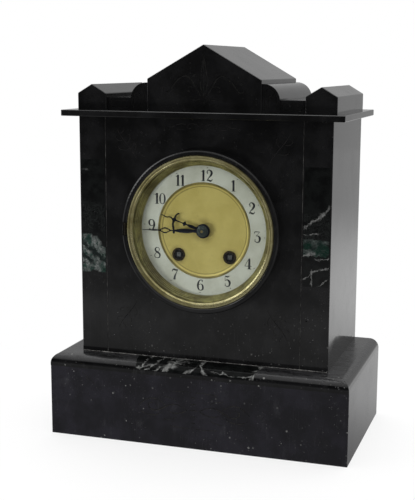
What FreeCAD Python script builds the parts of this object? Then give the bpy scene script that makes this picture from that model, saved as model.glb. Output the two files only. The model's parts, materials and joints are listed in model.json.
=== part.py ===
import FreeCAD, Part
import math
import os

# Black slate mantel clock: polished slate slabs on a deep plinth, a hinged brass bezel over
# a ring dial, and an eight-day round-plate movement with two barrels, a bell and a pendulum.
# Lengths are millimetres. X runs to the viewer's right, Y to the back and Z up. The origin
# is the middle of the footprint, on the surface that the clock stands on.
os.makedirs("parts", exist_ok=True)
V = FreeCAD.Vector

# Clearances and cutting overrun
over = 1.0
running = 0.3
shaft_fit = 0.05
seat = 0.1

# Plinth: four wall slabs under a top slab with quarter-rounded edges, wider than the body
body_width = 208.5
plinth_ledge = 20.75
plinth_width = body_width + 2 * plinth_ledge
plinth_depth = 135.0
plinth_height = 68.3
plinth_wall = 16.0
plinth_cap = 10.0
plinth_round = 8.0
arris = 0.4
inlay_rear_width = 107.0
inlay_front_width = 98.0
inlay_thickness = 3.0
inlay_drop = 6.3

# Body: front, two sides and back, with a round opening in the front and in the back
body_height = 194.6
body_setback = 18.9
body_rear_setback = 2.3
front_slab = 16.0
side_slab = 16.0
back_slab = 14.0
dial_drop = 89.1
dial_height = plinth_height + body_height - dial_drop
front_opening = 57.0
pilaster_width = 22.75
joint_line_width = 0.5
joint_line_depth = 0.4
marble_rise = 67.2
marble_height = 92.5
marble_side_margin = 1.2
marble_thickness = 3.0

# Cornice and roof pieces
cornice_side = 10.7
cornice_front = 10.9
cornice_rear_setback = 1.7
cornice_thickness = 4.8
roof_setback = 14.6
pediment_half_width = 46.8
pediment_eaves = 25.0
pediment_rise = 26.6
corner_setback = 13.6
corner_rear_setback = 3.5
corner_overhang = 1.95
corner_width = 24.6
corner_inner = body_width / 2 + corner_overhang - corner_width
corner_eaves = 13.1
corner_rise = 7.3
scroll_width = 14.4
scroll_radius = 13.0
scroll_height = 22.0
scroll_inset = 1.0
link_height = 10.0
link_inset = 1.9

# Iron rods that draw the case together
rod_radius = 2.5
rod_inset = 9.0
rod_tail = 9.0
rod_nut_radius = 6.0
rod_nut_height = 5.0

# Turned slate ring round the bezel, with its spigot in the front opening
bezel_flange = 3.5
bezel_radius = front_opening + bezel_flange
bezel_gap = 0.5
bezel_seat_radius = bezel_radius + bezel_gap
surround_rim = 4.1
surround_radius = bezel_seat_radius + surround_rim
surround_proud = 7.5
surround_round = 1.8
surround_bevel = 0.6
bezel_seat_proud = 2.0
spigot_wall = 1.6
spigot_gap = 0.2

# Brass bezel, glass and sloping sight ring
bezel_round = 1.5
bezel_crest_radius = bezel_radius - bezel_round
bezel_crest_proud = 6.8
bezel_edge_proud = 5.2
bezel_rim = 2.9
glass_seat_radius = bezel_radius - bezel_rim
bezel_lip = 1.0
bezel_lip_radius = glass_seat_radius - bezel_lip
bezel_lip_thickness = 0.6
glass_thickness = 1.4
glass_gap = 0.1
sight_flange = 0.8
sight_ledge = 2.8
sight_top_radius = glass_seat_radius - sight_ledge
sight_slope = 1.6
sight_foot_radius = sight_top_radius - sight_slope
sight_wall = 0.7
sight_foot_gap = 1.9

# Bezel hinge, let into the slate ring
hinge_offset = 1.9
hinge_radius = 1.5
hinge_pin_radius = 0.7
hinge_length = 10.0
hinge_tongue = 4.0
hinge_leaf = 1.0

# Dial: porcelain ring, dished gilt centre and the brass plate behind them
dial_recess = 5.4
dial_plate_gap = 0.3
dial_plate_radius = front_opening - dial_plate_gap
ring_margin = 2.1
ring_outer_radius = dial_plate_radius - ring_margin
ring_width = 16.5
ring_inner_radius = ring_outer_radius - ring_width
ring_thickness = 2.0
centre_border = 2.7
centre_flat_radius = ring_inner_radius - centre_border
centre_dish = 1.2
dial_plate_thickness = 1.2
dial_hole_radius = 3.5
foot_radius = 1.5
foot_spread = 32.0
foot_rise = 12.0
foot_drop = 36.0
grommet_flange_radius = 5.4
grommet_radius = 4.8
grommet_bore = 3.9
grommet_flange = 0.5

# Movement frame
motion_space = 7.6
frame_plate = 2.0
frame_gap = 34.0
frame_radius = 47.5
pillar_radius = 3.0
pillar_end_radius = 2.0
pillar_side = 43.3
pillar_top_spread = 24.0
pillar_top_rise = 36.0
pivot_radius = 0.5
arbor_radius = 1.1
minute_stud_radius = 0.8
minute_stud_angle = 150
strap_gap = 2.5
strap_offset = frame_radius + strap_gap
strap_thickness = 1.4
strap_play = 0.6
rear_opening = strap_offset + strap_thickness + strap_play
strap_width = 8.0
strap_foot = 5.0
strap_screw_inset = 1.8
strap_screw_radius = 1.2
strap_screw_head = 2.0
strap_screw_head_height = 0.9

# Tooth counts and modules of the two trains and of the motion work
great_teeth = 84
great_module = 0.4143
inter_pinion_leaves = 14
inter_teeth = 72
inter_module = 0.34
centre_pinion_leaves = 9
centre_teeth = 96
centre_module = 0.25
third_pinion_leaves = 8
third_teeth = 88
third_module = 0.23
escape_pinion_leaves = 8
cannon_teeth = 12
minute_teeth = 36
cannon_module = 0.5
minute_pinion_leaves = 10
hour_teeth = 40
hour_module = 0.48
escape_teeth = 42
escape_radius = 8.6
escape_tooth_depth = 1.1
ratchet_teeth = 24
ratchet_radius = 8.5
ratchet_tooth_depth = 1.0
wheel_spokes = 4
wheel_tip_share = 0.85
wheel_root_share = 1.15
leaf_tip_share = 0.62
leaf_root_share = 1.3
wheel_rim_share = 4
wheel_hub_share = 2

# Barrels and winding arbors
winding_spread = 21.5
winding_drop = 20.5
barrel_radius = 15.5
barrel_wall = 0.8
barrel_length = 23.8
great_thickness = 1.8
great_lift = 1.4
barrel_arbor_radius = 3.0
barrel_pivot_radius = 2.4
winding_square = 3.4
square_setback = 0.4
spring_strip = 0.6
spring_turns = 6
click_reach = 14.2
click_width = 3.6
click_post_radius = 1.2
click_post_angle = 75
click_nose_angle = 112
plate_clear = 1.0

# Levels of the wheels, measured back from the inner face of the front frame plate
wheel_thickness = 1.2
pinion_margin = 0.6
centre_level = 7.0
third_level = 15.0
inter_level = 27.0
escape_level = 30.0
escape_rise = 23.0
anchor_rise = 34.6
anchor_reach = 9.5
anchor_width = 1.7
anchor_hub = 2.0
anchor_half_angle = 52

# Pendulum, its cock and the crutch
pendulum_foot_gap = 9.3
pendulum_stand_off = 9.0
rod_half_width = 1.2
bob_radius = 20.0
bob_edge = 1.2
bob_half_thickness = 4.5
rating_nut_radius = 3.0
rating_nut_height = 3.0
pendulum_end = bob_radius + 2 * rating_nut_height + pendulum_foot_gap
pendulum_length = dial_height - plinth_height + anchor_rise - pendulum_end
suspension_strip = 0.3
suspension_length = 7.0
suspension_block = 2.0
cock_half_width = 6.0
cock_cheek = 1.0
cock_top = 8.4
cock_thickness = 4.0
crutch_drop = 28.0
crutch_width = 1.2

# Bell on its post, and the hammer
bell_x = 14.0
bell_drop = 8.0
bell_radius = 30.0
bell_height = 16.0
bell_wall = 1.4
bell_gap = 16.0
bell_post_radius = 2.0
bell_nut_radius = 4.0
hammer_x = 34.0
hammer_rise = 26.0
hammer_reach = 20.0
hammer_head_radius = 3.5
hammer_head_length = 5.0
hammer_stand_off = 0.8
hammer_arm_radius = 1.0

# Hands, set at the time that the clock shows
minute_angle = 268.7
hour_angle = 288.2
minute_tip_gap = 3.6
minute_length = ring_outer_radius - minute_tip_gap
hour_tip_gap = 0.7
hour_length = ring_inner_radius - hour_tip_gap
hand_thickness = 0.8
hour_hand_lift = 2.2
minute_hand_lift = 3.6
minute_boss_radius = 4.6
hour_boss_radius = 5.4
cannon_pipe_radius = 1.9
hour_pipe_radius = 2.8
collet_radius = 3.2
collet_height = 1.6

# Back door in its brass ring
rear_ring_lap = 4.0
rear_ring_outer = rear_opening + rear_ring_lap
rear_ring_lip = 10.0
rear_ring_inner = rear_opening - rear_ring_lip
rear_ring_thickness = 1.0
door_lap = 1.2
door_radius = rear_ring_inner + door_lap
door_thickness = 0.9
door_hinge_radius = 0.9
door_pin_radius = 0.45
door_hinge_offset = 1.5
door_hinge_length = 20.0
door_tongue = 8.0
door_leaf_width = 5.0
door_leaf_thickness = 0.6
knob_radius = 2.0
knob_inset = 5.0
knob_height = 0.2

# Places worked out from the sizes above
front_y = -plinth_depth / 2
rear_y = plinth_depth / 2
body_front = front_y + body_setback
body_rear = rear_y - body_rear_setback
body_top = plinth_height + body_height
slab_top = body_top + cornice_thickness
dial_y = body_front + dial_recess
dial_plate_y = dial_y + ring_thickness
frame_front = dial_plate_y + dial_plate_thickness + motion_space
inner_front = frame_front + frame_plate
inner_rear = inner_front + frame_gap
frame_rear = inner_rear + frame_plate
seat_y = body_front - bezel_seat_proud
pendulum_y = frame_rear + pendulum_stand_off
glass_y = body_front - bezel_edge_proud + bezel_lip_thickness - running


def pitch_radius(teeth, module):
    return teeth * module / 2


def meet(start, start_reach, end, end_reach, side):
    """The point at the given reach from each of two arbors, on one side of their line."""
    dx = end[0] - start[0]
    dz = end[1] - start[1]
    apart = math.hypot(dx, dz)
    along = (start_reach ** 2 - end_reach ** 2 + apart ** 2) / (2 * apart)
    aside = side * math.sqrt(start_reach ** 2 - along ** 2)
    ux = dx / apart
    uz = dz / apart
    return (start[0] + along * ux - aside * uz, start[1] + along * uz + aside * ux)


centre_at = (0, dial_height)
going_at = (winding_spread, dial_height - winding_drop)
strike_at = (-winding_spread, dial_height - winding_drop)
escape_at = (0, dial_height + escape_rise)
anchor_at = (0, dial_height + anchor_rise)
hammer_at = (hammer_x, dial_height + hammer_rise)
bell_at = (bell_x, dial_height - bell_drop)
inter_at = meet(
    going_at, pitch_radius(great_teeth + inter_pinion_leaves, great_module),
    centre_at, pitch_radius(inter_teeth + centre_pinion_leaves, inter_module), -1)
third_at = meet(
    centre_at, pitch_radius(centre_teeth + third_pinion_leaves, centre_module),
    escape_at, pitch_radius(third_teeth + escape_pinion_leaves, third_module), -1)
minute_reach = pitch_radius(cannon_teeth + minute_teeth, cannon_module)
minute_at = (minute_reach * math.cos(math.radians(minute_stud_angle)),
             dial_height + minute_reach * math.sin(math.radians(minute_stud_angle)))
feet_at = [(-foot_spread, dial_height + foot_rise), (foot_spread, dial_height + foot_rise),
           (0, dial_height - foot_drop)]
pillars_at = [(-pillar_side, dial_height), (pillar_side, dial_height),
              (0, dial_height - pillar_side),
              (-pillar_top_spread, dial_height + pillar_top_rise),
              (pillar_top_spread, dial_height + pillar_top_rise)]
head_at = meet(bell_at, bell_radius + hammer_stand_off + hammer_head_radius,
               hammer_at, hammer_reach, -1)


def block(x0, x1, y0, y1, z0, z1):
    return Part.makeBox(x1 - x0, y1 - y0, z1 - z0, V(x0, y0, z0))


def bar(radius, y0, y1, at):
    """Round bar along Y at a place (x, z)."""
    return Part.makeCylinder(radius, y1 - y0, V(at[0], y0, at[1]), V(0, 1, 0))


def upright(radius, x, y, z0, z1):
    return Part.makeCylinder(radius, z1 - z0, V(x, y, z0))


def prism(points, y0, y1):
    """Outline of (x, z) points, carried from y0 to y1."""
    corners = [V(x, y0, z) for x, z in points]
    face = Part.Face(Part.makePolygon(corners + corners[:1]))
    return face.extrude(V(0, y1 - y0, 0))


def turned(outline, at):
    """Outline of (radius, y) points turned about the Y direction through (x, z)."""
    corners = [V(at[0] + r, y, at[1]) for r, y in outline]
    face = Part.Face(Part.makePolygon(corners + corners[:1]))
    return face.revolve(V(at[0], 0, at[1]), V(0, 1, 0), 360)


def broken_edges(shape, size, keep=None):
    """Take the sharp arris off the long straight edges, as the polisher does."""
    shortest_share = 8
    edges = [e for e in shape.Edges if e.Length > shortest_share * size and (keep is None or keep(e))]
    return shape.makeChamfer(size, edges)


def gear(teeth, module, phase, y0, y1, at, leaf=False):
    """Toothed disc with flat-sided teeth; a pinion's leaves are the narrower ones."""
    tip_share = leaf_tip_share if leaf else wheel_tip_share
    root_share = leaf_root_share if leaf else wheel_root_share
    foot_part_share = 0.13 if leaf else 0.22
    top_part_share = 0.09 if leaf else 0.10
    radius = pitch_radius(teeth, module)
    step = 2 * math.pi / teeth
    points = []
    for k in range(teeth):
        middle = phase + k * step
        for share, reach in ((-foot_part_share, radius - root_share * module),
                             (-top_part_share, radius + tip_share * module),
                             (top_part_share, radius + tip_share * module),
                             (foot_part_share, radius - root_share * module)):
            turn = middle + share * step
            points.append((at[0] + reach * math.cos(turn), at[1] + reach * math.sin(turn)))
    return prism(points, y0, y1)


def saw_wheel(teeth, radius, depth, y0, y1, at):
    """Wheel with pointed one-way teeth, as on a ratchet or an escape wheel."""
    step = 2 * math.pi / teeth
    rake_share = 0.12
    points = []
    for k in range(teeth):
        for share, reach in ((0, radius), (rake_share, radius - depth)):
            turn = (k + share) * step
            points.append((at[0] + reach * math.cos(turn), at[1] + reach * math.sin(turn)))
    return prism(points, y0, y1)


def mesh_phase(driver_teeth, driver_phase, follower_teeth, start, end):
    """Phase that puts a gap of the follower over the driver's tooth."""
    line = math.atan2(end[1] - start[1], end[0] - start[0])
    lag = (driver_phase - line) * driver_teeth / follower_teeth
    return line + math.pi - lag + math.pi / follower_teeth


def crossed_out(wheel, rim_radius, hub_radius, y0, y1, at):
    """Cut the openings between the spokes of a wheel."""
    spoke_share = 0.22
    step = 2 * math.pi / wheel_spokes
    for k in range(wheel_spokes):
        start = (k + spoke_share / 2) * step
        end = (k + 1 - spoke_share / 2) * step
        places = []
        for reach, turn in ((rim_radius, start), (rim_radius, (start + end) / 2), (rim_radius, end),
                            (hub_radius, end), (hub_radius, (start + end) / 2), (hub_radius, start)):
            places.append(V(at[0] + reach * math.cos(turn), y0 - over, at[1] + reach * math.sin(turn)))
        edges = [Part.Arc(*places[:3]).toShape(), Part.makeLine(places[2], places[3]),
                 Part.Arc(*places[3:]).toShape(), Part.makeLine(places[5], places[0])]
        window = Part.Face(Part.Wire(edges)).extrude(V(0, y1 - y0 + 2 * over, 0))
        wheel = wheel.cut(window)
    return wheel


def arbor(at, radius=arbor_radius, pivot=pivot_radius):
    """Arbor between the frame plates with a pivot in each."""
    body = bar(radius, inner_front + seat, inner_rear - seat, at)
    return body.fuse(bar(pivot, frame_front, frame_rear, at)).removeSplitter()


def slim_radius(leaves, leaf_module):
    """Largest arbor that stays inside a pinion's roots."""
    return min(arbor_radius, pitch_radius(leaves, leaf_module) - leaf_root_share * leaf_module)


def save(name, shape):
    solids = shape.Solids
    whole = solids[0] if len(solids) == 1 else Part.makeCompound(solids)
    whole.exportStep("parts/" + name + ".step")


# Plinth

def plinth_walls():
    half = plinth_width / 2
    top = plinth_height - plinth_cap
    side_start = front_y + plinth_wall
    side_end = rear_y - plinth_wall
    front = block(-half, half, front_y, side_start, 0, top)
    back = block(-half, half, side_end, rear_y, 0, top)
    right = block(half - plinth_wall, half, side_start, side_end, 0, top)
    left = block(-half, -half + plinth_wall, side_start, side_end, 0, top)
    save("plinth_front", broken_edges(front, arris, lambda e: e.BoundBox.YMax < front_y + arris
                                      and e.BoundBox.ZMin < arris))
    save("plinth_back", back)
    save("plinth_side_right", right)
    save("plinth_side_left", left)


def inlay_outline():
    """Top view of the marble strip let into the front ledge: wider at the body's foot."""
    rear = inlay_rear_width / 2
    front = inlay_front_width / 2
    foot = plinth_height - inlay_drop
    return [V(-front, front_y - over, foot), V(front, front_y - over, foot),
            V(rear, body_front, foot), V(-rear, body_front, foot)]


def plinth_cap_blank(inset):
    """Top slab with its front and side edges rounded, or the same form drawn in."""
    half = plinth_width / 2 - inset
    top = plinth_height - inset
    slab = block(-half, half, front_y + inset, rear_y, plinth_height - plinth_cap, top)
    edges = [e for e in slab.Edges if e.BoundBox.ZMin > top - arris
             and e.BoundBox.YMin < rear_y - arris]
    return slab.makeFillet(plinth_round - inset, edges)


def plinth_top_and_inlay():
    slab = plinth_cap_blank(0)
    corners = inlay_outline()
    face = Part.Face(Part.makePolygon(corners + corners[:1]))
    column = face.extrude(V(0, 0, inlay_drop + over))
    strip = slab.common(column).cut(plinth_cap_blank(inlay_thickness))
    slab = slab.cut(strip)
    for side in (-1, 1):
        for y in rods_y():
            slab = slab.cut(upright(rod_radius, side * rods_x(), y, 0, plinth_height + over))
    save("plinth_top", slab)
    save("plinth_inlay", strip)


def rods_x():
    return body_width / 2 - side_slab - rod_inset


def rods_y():
    return (body_front + front_slab + rod_inset, body_rear - back_slab - rod_inset)


def tie_rods():
    solids = []
    low = plinth_height - plinth_cap - rod_tail
    for side in (-1, 1):
        for y in rods_y():
            x = side * rods_x()
            shank = upright(rod_radius, x, y, low, body_top)
            nut_top = plinth_height - plinth_cap
            nut = upright(rod_nut_radius, x, y, nut_top - rod_nut_height, nut_top)
            solids.append(shank.fuse(nut).removeSplitter())
    save("tie_rods", Part.makeCompound(solids))


# Body

def marble_place(side):
    inner = body_width / 2 - pilaster_width + marble_side_margin
    outer = body_width / 2 - marble_side_margin
    x0, x1 = (inner, outer) if side > 0 else (-outer, -inner)
    foot = plinth_height + marble_rise
    return block(x0, x1, body_front, body_front + marble_thickness, foot, foot + marble_height)


def body_front_slab():
    half = body_width / 2
    slab = block(-half, half, body_front, body_front + front_slab, plinth_height, body_top)
    slab = broken_edges(slab, arris, lambda e: e.BoundBox.YMax < body_front + arris
                        and e.BoundBox.ZLength > body_height / 2)
    slab = slab.cut(bar(front_opening, body_front - over, body_front + front_slab + over, centre_at))
    for side in (-1, 1):
        line = side * (half - pilaster_width)
        groove = block(line - joint_line_width / 2, line + joint_line_width / 2,
                       body_front - over, body_front + joint_line_depth,
                       plinth_height - over, body_top + over)
        slab = slab.cut(groove).cut(marble_place(side))
        save("marble_panel_right" if side > 0 else "marble_panel_left", marble_place(side))
    save("body_front", slab)


def body_walls():
    half = body_width / 2
    start = body_front + front_slab
    end = body_rear - back_slab
    save("body_side_right", block(half - side_slab, half, start, body_rear, plinth_height, body_top))
    save("body_side_left", block(-half, side_slab - half, start, body_rear, plinth_height, body_top))
    back = block(side_slab - half, half - side_slab, end, body_rear, plinth_height, body_top)
    save("body_back", back.cut(bar(rear_opening, end - over, body_rear + over, centre_at)))


# Cornice and roof

def cornice():
    half = body_width / 2 + cornice_side
    slab = block(-half, half, body_front - cornice_front, body_rear - cornice_rear_setback,
                 body_top, slab_top)
    save("cornice", broken_edges(slab, arris))


def gabled(x0, x1, y0, y1, eaves, rise):
    middle = (x0 + x1) / 2
    outline = [(x0, slab_top), (x1, slab_top), (x1, slab_top + eaves),
               (middle, slab_top + eaves + rise), (x0, slab_top + eaves)]
    form = prism(outline, y0, y1)
    return broken_edges(form, arris, lambda e: e.BoundBox.ZMax > slab_top + arris)


def roof():
    cornice_y = body_front - cornice_front
    roof_y = cornice_y + roof_setback
    rear = body_rear - cornice_rear_setback
    save("pediment", gabled(-pediment_half_width, pediment_half_width, roof_y, body_rear,
                            pediment_eaves, pediment_rise))
    corner_y = cornice_y + corner_setback
    outer = corner_inner + corner_width
    for side, name in ((-1, "left"), (1, "right")):
        x0, x1 = sorted((side * corner_inner, side * outer))
        block_rear = rear - corner_rear_setback
        save("corner_block_" + name, gabled(x0, x1, corner_y, block_rear, corner_eaves, corner_rise))
        save("shoulder_" + name, shoulder(side, roof_y, rear))


def shoulder(side, roof_y, rear):
    """Quarter-round scroll against the pediment and the low link out to the corner block."""
    inner = pediment_half_width
    outer = inner + scroll_width
    top = slab_top + scroll_height
    bend = math.cos(math.pi / 4)
    centre_x = outer - scroll_radius
    centre_z = top - scroll_radius
    y = roof_y + scroll_inset
    places = [V(side * inner, y, slab_top), V(side * inner, y, top), V(side * centre_x, y, top),
              V(side * (centre_x + scroll_radius * bend), y, centre_z + scroll_radius * bend),
              V(side * outer, y, centre_z), V(side * outer, y, slab_top)]
    edges = [Part.makeLine(places[0], places[1]), Part.makeLine(places[1], places[2]),
             Part.Arc(places[2], places[3], places[4]).toShape(),
             Part.makeLine(places[4], places[5]), Part.makeLine(places[5], places[0])]
    scroll = Part.Face(Part.Wire(edges)).extrude(V(0, rear - y, 0))
    x0, x1 = sorted((side * outer, side * corner_inner))
    link = block(x0, x1, roof_y + link_inset, rear, slab_top, slab_top + link_height)
    return scroll.fuse(link).removeSplitter()


# Turned ring, bezel and glass

def hinge_x():
    return -(bezel_radius + hinge_offset)


def hinge_y():
    return body_front - surround_proud + hinge_radius


def dial_surround():
    """Ring with a rounded outer edge, a rebate for the bezel and a spigot in the front slab."""
    front = body_front - surround_proud
    spigot = front_opening - spigot_gap
    bend = math.cos(math.pi / 4)
    shoulder_r = surround_radius - surround_round
    outline = [V(spigot, dial_plate_y, 0), V(spigot, body_front, 0), V(surround_radius, body_front, 0),
               V(surround_radius, front + surround_round, 0),
               V(shoulder_r + surround_round * bend, front + surround_round * (1 - bend), 0),
               V(shoulder_r, front, 0), V(bezel_seat_radius + surround_bevel, front, 0),
               V(bezel_seat_radius, front + surround_bevel, 0), V(bezel_seat_radius, seat_y, 0),
               V(spigot - spigot_wall, seat_y, 0), V(spigot - spigot_wall, dial_plate_y, 0)]
    edges = [Part.makeLine(outline[k], outline[k + 1]) for k in (0, 1, 2)]
    edges.append(Part.Arc(outline[3], outline[4], outline[5]).toShape())
    edges += [Part.makeLine(outline[k], outline[k + 1]) for k in (5, 6, 7, 8, 9)]
    edges.append(Part.makeLine(outline[-1], outline[0]))
    ring = Part.Face(Part.Wire(edges)).revolve(V(0, 0, 0), V(0, 1, 0), 360)
    ring.translate(V(0, 0, dial_height))
    half = hinge_length / 2 + running
    wall = hinge_radius + running
    mortise = block(hinge_x() - wall, -bezel_radius, front - over,
                    hinge_y() + hinge_radius + hinge_leaf, dial_height - half, dial_height + half)
    save("dial_surround", ring.cut(mortise))


def bezel_hinge():
    """Fixed leaf with two knuckles and the pin through them."""
    x = hinge_x()
    half = hinge_length / 2
    tongue = hinge_tongue / 2 + shaft_fit
    y = hinge_y()
    pin = upright(hinge_pin_radius, x, y, dial_height - half, dial_height + half)
    low = upright(hinge_radius, x, y, dial_height - half, dial_height - tongue)
    high = upright(hinge_radius, x, y, dial_height + tongue, dial_height + half)
    leaf_y = y + hinge_radius
    leaf = block(x - hinge_radius, x + hinge_radius, leaf_y, leaf_y + hinge_leaf,
                 dial_height - half, dial_height + half)
    webs = [block(x - hinge_radius / 2, x + hinge_radius / 2, y, leaf_y, z0, z1)
            for z0, z1 in ((dial_height - half, dial_height - tongue),
                           (dial_height + tongue, dial_height + half))]
    leaf = leaf.cut(upright(hinge_radius + shaft_fit, x, y, dial_height - tongue, dial_height + tongue))
    save("bezel_hinge", pin.multiFuse([low, high, leaf] + webs).removeSplitter())


def bezel():
    crest = body_front - bezel_crest_proud
    edge = body_front - bezel_edge_proud
    lip_front = glass_y - bezel_lip_thickness
    back = seat_y - running
    bend = math.cos(math.pi / 4)
    round_r = bezel_radius - bezel_crest_radius
    round_y = edge - crest
    hollow_r = (bezel_crest_radius + bezel_lip_radius) / 2
    hollow_y = crest + (lip_front - crest) / 4
    places = [V(bezel_radius, back, 0), V(bezel_radius, edge, 0),
              V(bezel_crest_radius + round_r * bend, edge - round_y * bend, 0),
              V(bezel_crest_radius, crest, 0), V(hollow_r, hollow_y, 0),
              V(bezel_lip_radius, lip_front, 0), V(bezel_lip_radius, glass_y, 0),
              V(glass_seat_radius, glass_y, 0), V(glass_seat_radius, back, 0)]
    edges = [Part.makeLine(places[0], places[1]), Part.Arc(*places[1:4]).toShape(),
             Part.Arc(*places[3:6]).toShape()]
    edges += [Part.makeLine(places[k], places[k + 1]) for k in (5, 6, 7)]
    edges.append(Part.makeLine(places[8], places[0]))
    ring = Part.Face(Part.Wire(edges)).revolve(V(0, 0, 0), V(0, 1, 0), 360)
    ring.translate(V(0, 0, dial_height))
    tongue = hinge_tongue / 2
    x = hinge_x()
    knuckle = upright(hinge_radius, x, hinge_y(), dial_height - tongue, dial_height + tongue)
    web = block(x, hinge_leaf / 2 - bezel_radius, hinge_y(), hinge_y() + hinge_leaf,
                dial_height - tongue, dial_height + tongue)
    hole = upright(hinge_pin_radius + shaft_fit, x, hinge_y(), dial_height - hinge_length,
                   dial_height + hinge_length)
    save("bezel", ring.fuse(web).fuse(knuckle).cut(hole).removeSplitter())


def glass():
    radius = glass_seat_radius - glass_gap
    disc = bar(radius, glass_y, glass_y + glass_thickness, centre_at)
    save("bezel_glass", disc)


def sight_ring():
    """Gilt slip behind the glass: a flange and two stepped slopes down to the dial."""
    top = glass_y + glass_thickness
    foot = dial_y - sight_foot_gap
    outer = glass_seat_radius - glass_gap
    step_y = (top + sight_flange + foot) / 2
    step_r = (sight_top_radius + sight_foot_radius) / 2
    ledge = sight_wall / 2
    outline = [(outer, top), (outer, top + sight_flange), (sight_top_radius, top + sight_flange),
               (step_r + sight_wall, step_y), (sight_foot_radius + sight_wall, foot),
               (sight_foot_radius, foot), (step_r - ledge, step_y), (step_r, step_y - ledge),
               (sight_top_radius - sight_wall, top)]
    save("sight_ring", turned(outline, centre_at))


# Dial

def dial_parts():
    ring_back = dial_plate_y
    rim = ring_thickness / 4
    chapter = [(ring_outer_radius, ring_back), (ring_outer_radius, dial_y + rim),
               (ring_outer_radius - rim, dial_y), (ring_inner_radius + rim, dial_y),
               (ring_inner_radius, dial_y + rim), (ring_inner_radius, ring_back)]
    save("chapter_ring", turned(chapter, centre_at))
    flat_y = dial_y + centre_dish
    slope_r = ring_inner_radius - seat
    disc = [(dial_hole_radius, ring_back), (dial_hole_radius, flat_y), (centre_flat_radius, flat_y),
            (slope_r - rim, dial_y), (slope_r, dial_y + rim), (slope_r, ring_back)]
    disc = turned(disc, centre_at)
    plate = bar(dial_plate_radius, dial_plate_y, dial_plate_y + dial_plate_thickness, centre_at)
    plate = plate.cut(bar(dial_hole_radius, dial_plate_y - over, frame_front, centre_at))
    for at in (going_at, strike_at):
        hole = bar(grommet_radius, dial_y - over, frame_front, at)
        disc = disc.cut(hole)
        plate = plate.cut(hole)
    for at in feet_at:
        plate = plate.fuse(bar(foot_radius, dial_plate_y + dial_plate_thickness / 2,
                               frame_front + frame_plate, at))
        plate = plate.fuse(bar(2 * foot_radius, dial_plate_y + dial_plate_thickness / 2,
                               frame_front, at))
    save("dial_centre", disc)
    save("dial_plate", plate.removeSplitter())
    grommets = []
    for at in (going_at, strike_at):
        sleeve = bar(grommet_radius, flat_y, dial_plate_y + dial_plate_thickness, at)
        flange = bar(grommet_flange_radius, flat_y - grommet_flange, flat_y, at)
        bore = bar(grommet_bore, dial_y - over, frame_front, at)
        grommets.append(sleeve.fuse(flange).cut(bore).removeSplitter())
    save("winding_grommets", Part.makeCompound(grommets))


def hand_form(points, angle, y0, y1):
    """Flat hand outline of (along, across) points, turned clockwise from twelve."""
    turn = math.radians(angle)
    places = []
    for along, across in points:
        places.append((along * math.sin(turn) + across * math.cos(turn),
                       dial_height + along * math.cos(turn) - across * math.sin(turn)))
    return prism(places, y0, y1)


def hand_disc(radius, along, angle, y0, y1):
    turn = math.radians(angle)
    return bar(radius, y0, y1, (along * math.sin(turn), dial_height + along * math.cos(turn)))


def mirrored(points):
    return points + [(along, -across) for along, across in reversed(points)]


def minute_hand():
    y0 = dial_y - minute_hand_lift
    y1 = y0 + hand_thickness
    bar_shares = [(0.06, 0.020), (0.30, 0.036), (0.46, 0.030), (0.56, 0.010)]
    tip_shares = [(0.70, 0.010), (0.78, 0.016), (0.86, 0.012), (0.97, 0.008), (1.0, 0.002)]
    stem = [(a * minute_length, w * minute_length) for a, w in bar_shares]
    tip = [(a * minute_length, w * minute_length) for a, w in tip_shares]
    loop_share = 0.63
    loop_radius_share = 0.078
    loop_wire_share = 0.018
    form = hand_form(mirrored(stem), minute_angle, y0, y1)
    form = form.fuse(hand_form(mirrored(tip), minute_angle, y0, y1))
    loop_radius = loop_radius_share * minute_length
    loop_at = loop_share * minute_length
    ring = hand_disc(loop_radius, loop_at, minute_angle, y0, y1)
    form = form.fuse(hand_disc(minute_boss_radius, 0, minute_angle, y0, y1)).fuse(ring)
    form = form.cut(hand_disc(loop_radius - loop_wire_share * minute_length, loop_at,
                              minute_angle, y0 - over, y1 + over))
    form = form.cut(bar(cannon_pipe_radius, y0 - over, y1 + over, centre_at))
    save("minute_hand", form.removeSplitter())


def hour_hand():
    y0 = dial_y - hour_hand_lift
    y1 = y0 + hand_thickness
    bar_shares = [(0.10, 0.028), (0.26, 0.046), (0.36, 0.034), (0.42, 0.016), (0.62, 0.016)]
    leaf_shares = [(0.60, 0.014), (0.70, 0.044), (0.80, 0.040), (0.90, 0.014), (1.0, 0.003)]
    stem = [(a * hour_length, w * hour_length) for a, w in bar_shares]
    leaf = [(a * hour_length, w * hour_length) for a, w in leaf_shares]
    bead_share = 0.44
    bead_radius_share = 0.036
    crescent_share = 0.50
    crescent_radius_share = 0.22
    crescent_wire_share = 0.036
    form = hand_form(mirrored(stem), hour_angle, y0, y1)
    form = form.fuse(hand_form(mirrored(leaf), hour_angle, y0, y1))
    form = form.fuse(hand_disc(bead_radius_share * hour_length, bead_share * hour_length,
                               hour_angle, y0, y1))
    horn = crescent_radius_share * hour_length
    centre = (crescent_share + crescent_radius_share) * hour_length
    outer = hand_disc(horn, centre, hour_angle, y0, y1)
    inner = hand_disc(horn, centre + crescent_wire_share * hour_length, hour_angle,
                      y0 - over, y1 + over)
    near = hand_form([(0, -horn), (centre, -horn), (centre, horn), (0, horn)], hour_angle, y0, y1)
    form = form.fuse(outer.cut(inner).common(near))
    form = form.fuse(hand_disc(hour_boss_radius, 0, hour_angle, y0, y1))
    form = form.cut(bar(hour_pipe_radius, y0 - over, y1 + over, centre_at))
    save("hour_hand", form.removeSplitter())


def hand_collet():
    y1 = dial_y - minute_hand_lift
    nose = collet_height / 2
    outline = [(arbor_radius + shaft_fit, y1 - collet_height), (collet_radius - nose, y1 - collet_height),
               (collet_radius, y1 - nose), (collet_radius, y1), (arbor_radius + shaft_fit, y1)]
    save("hand_collet", turned(outline, centre_at))


# Movement frame

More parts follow.
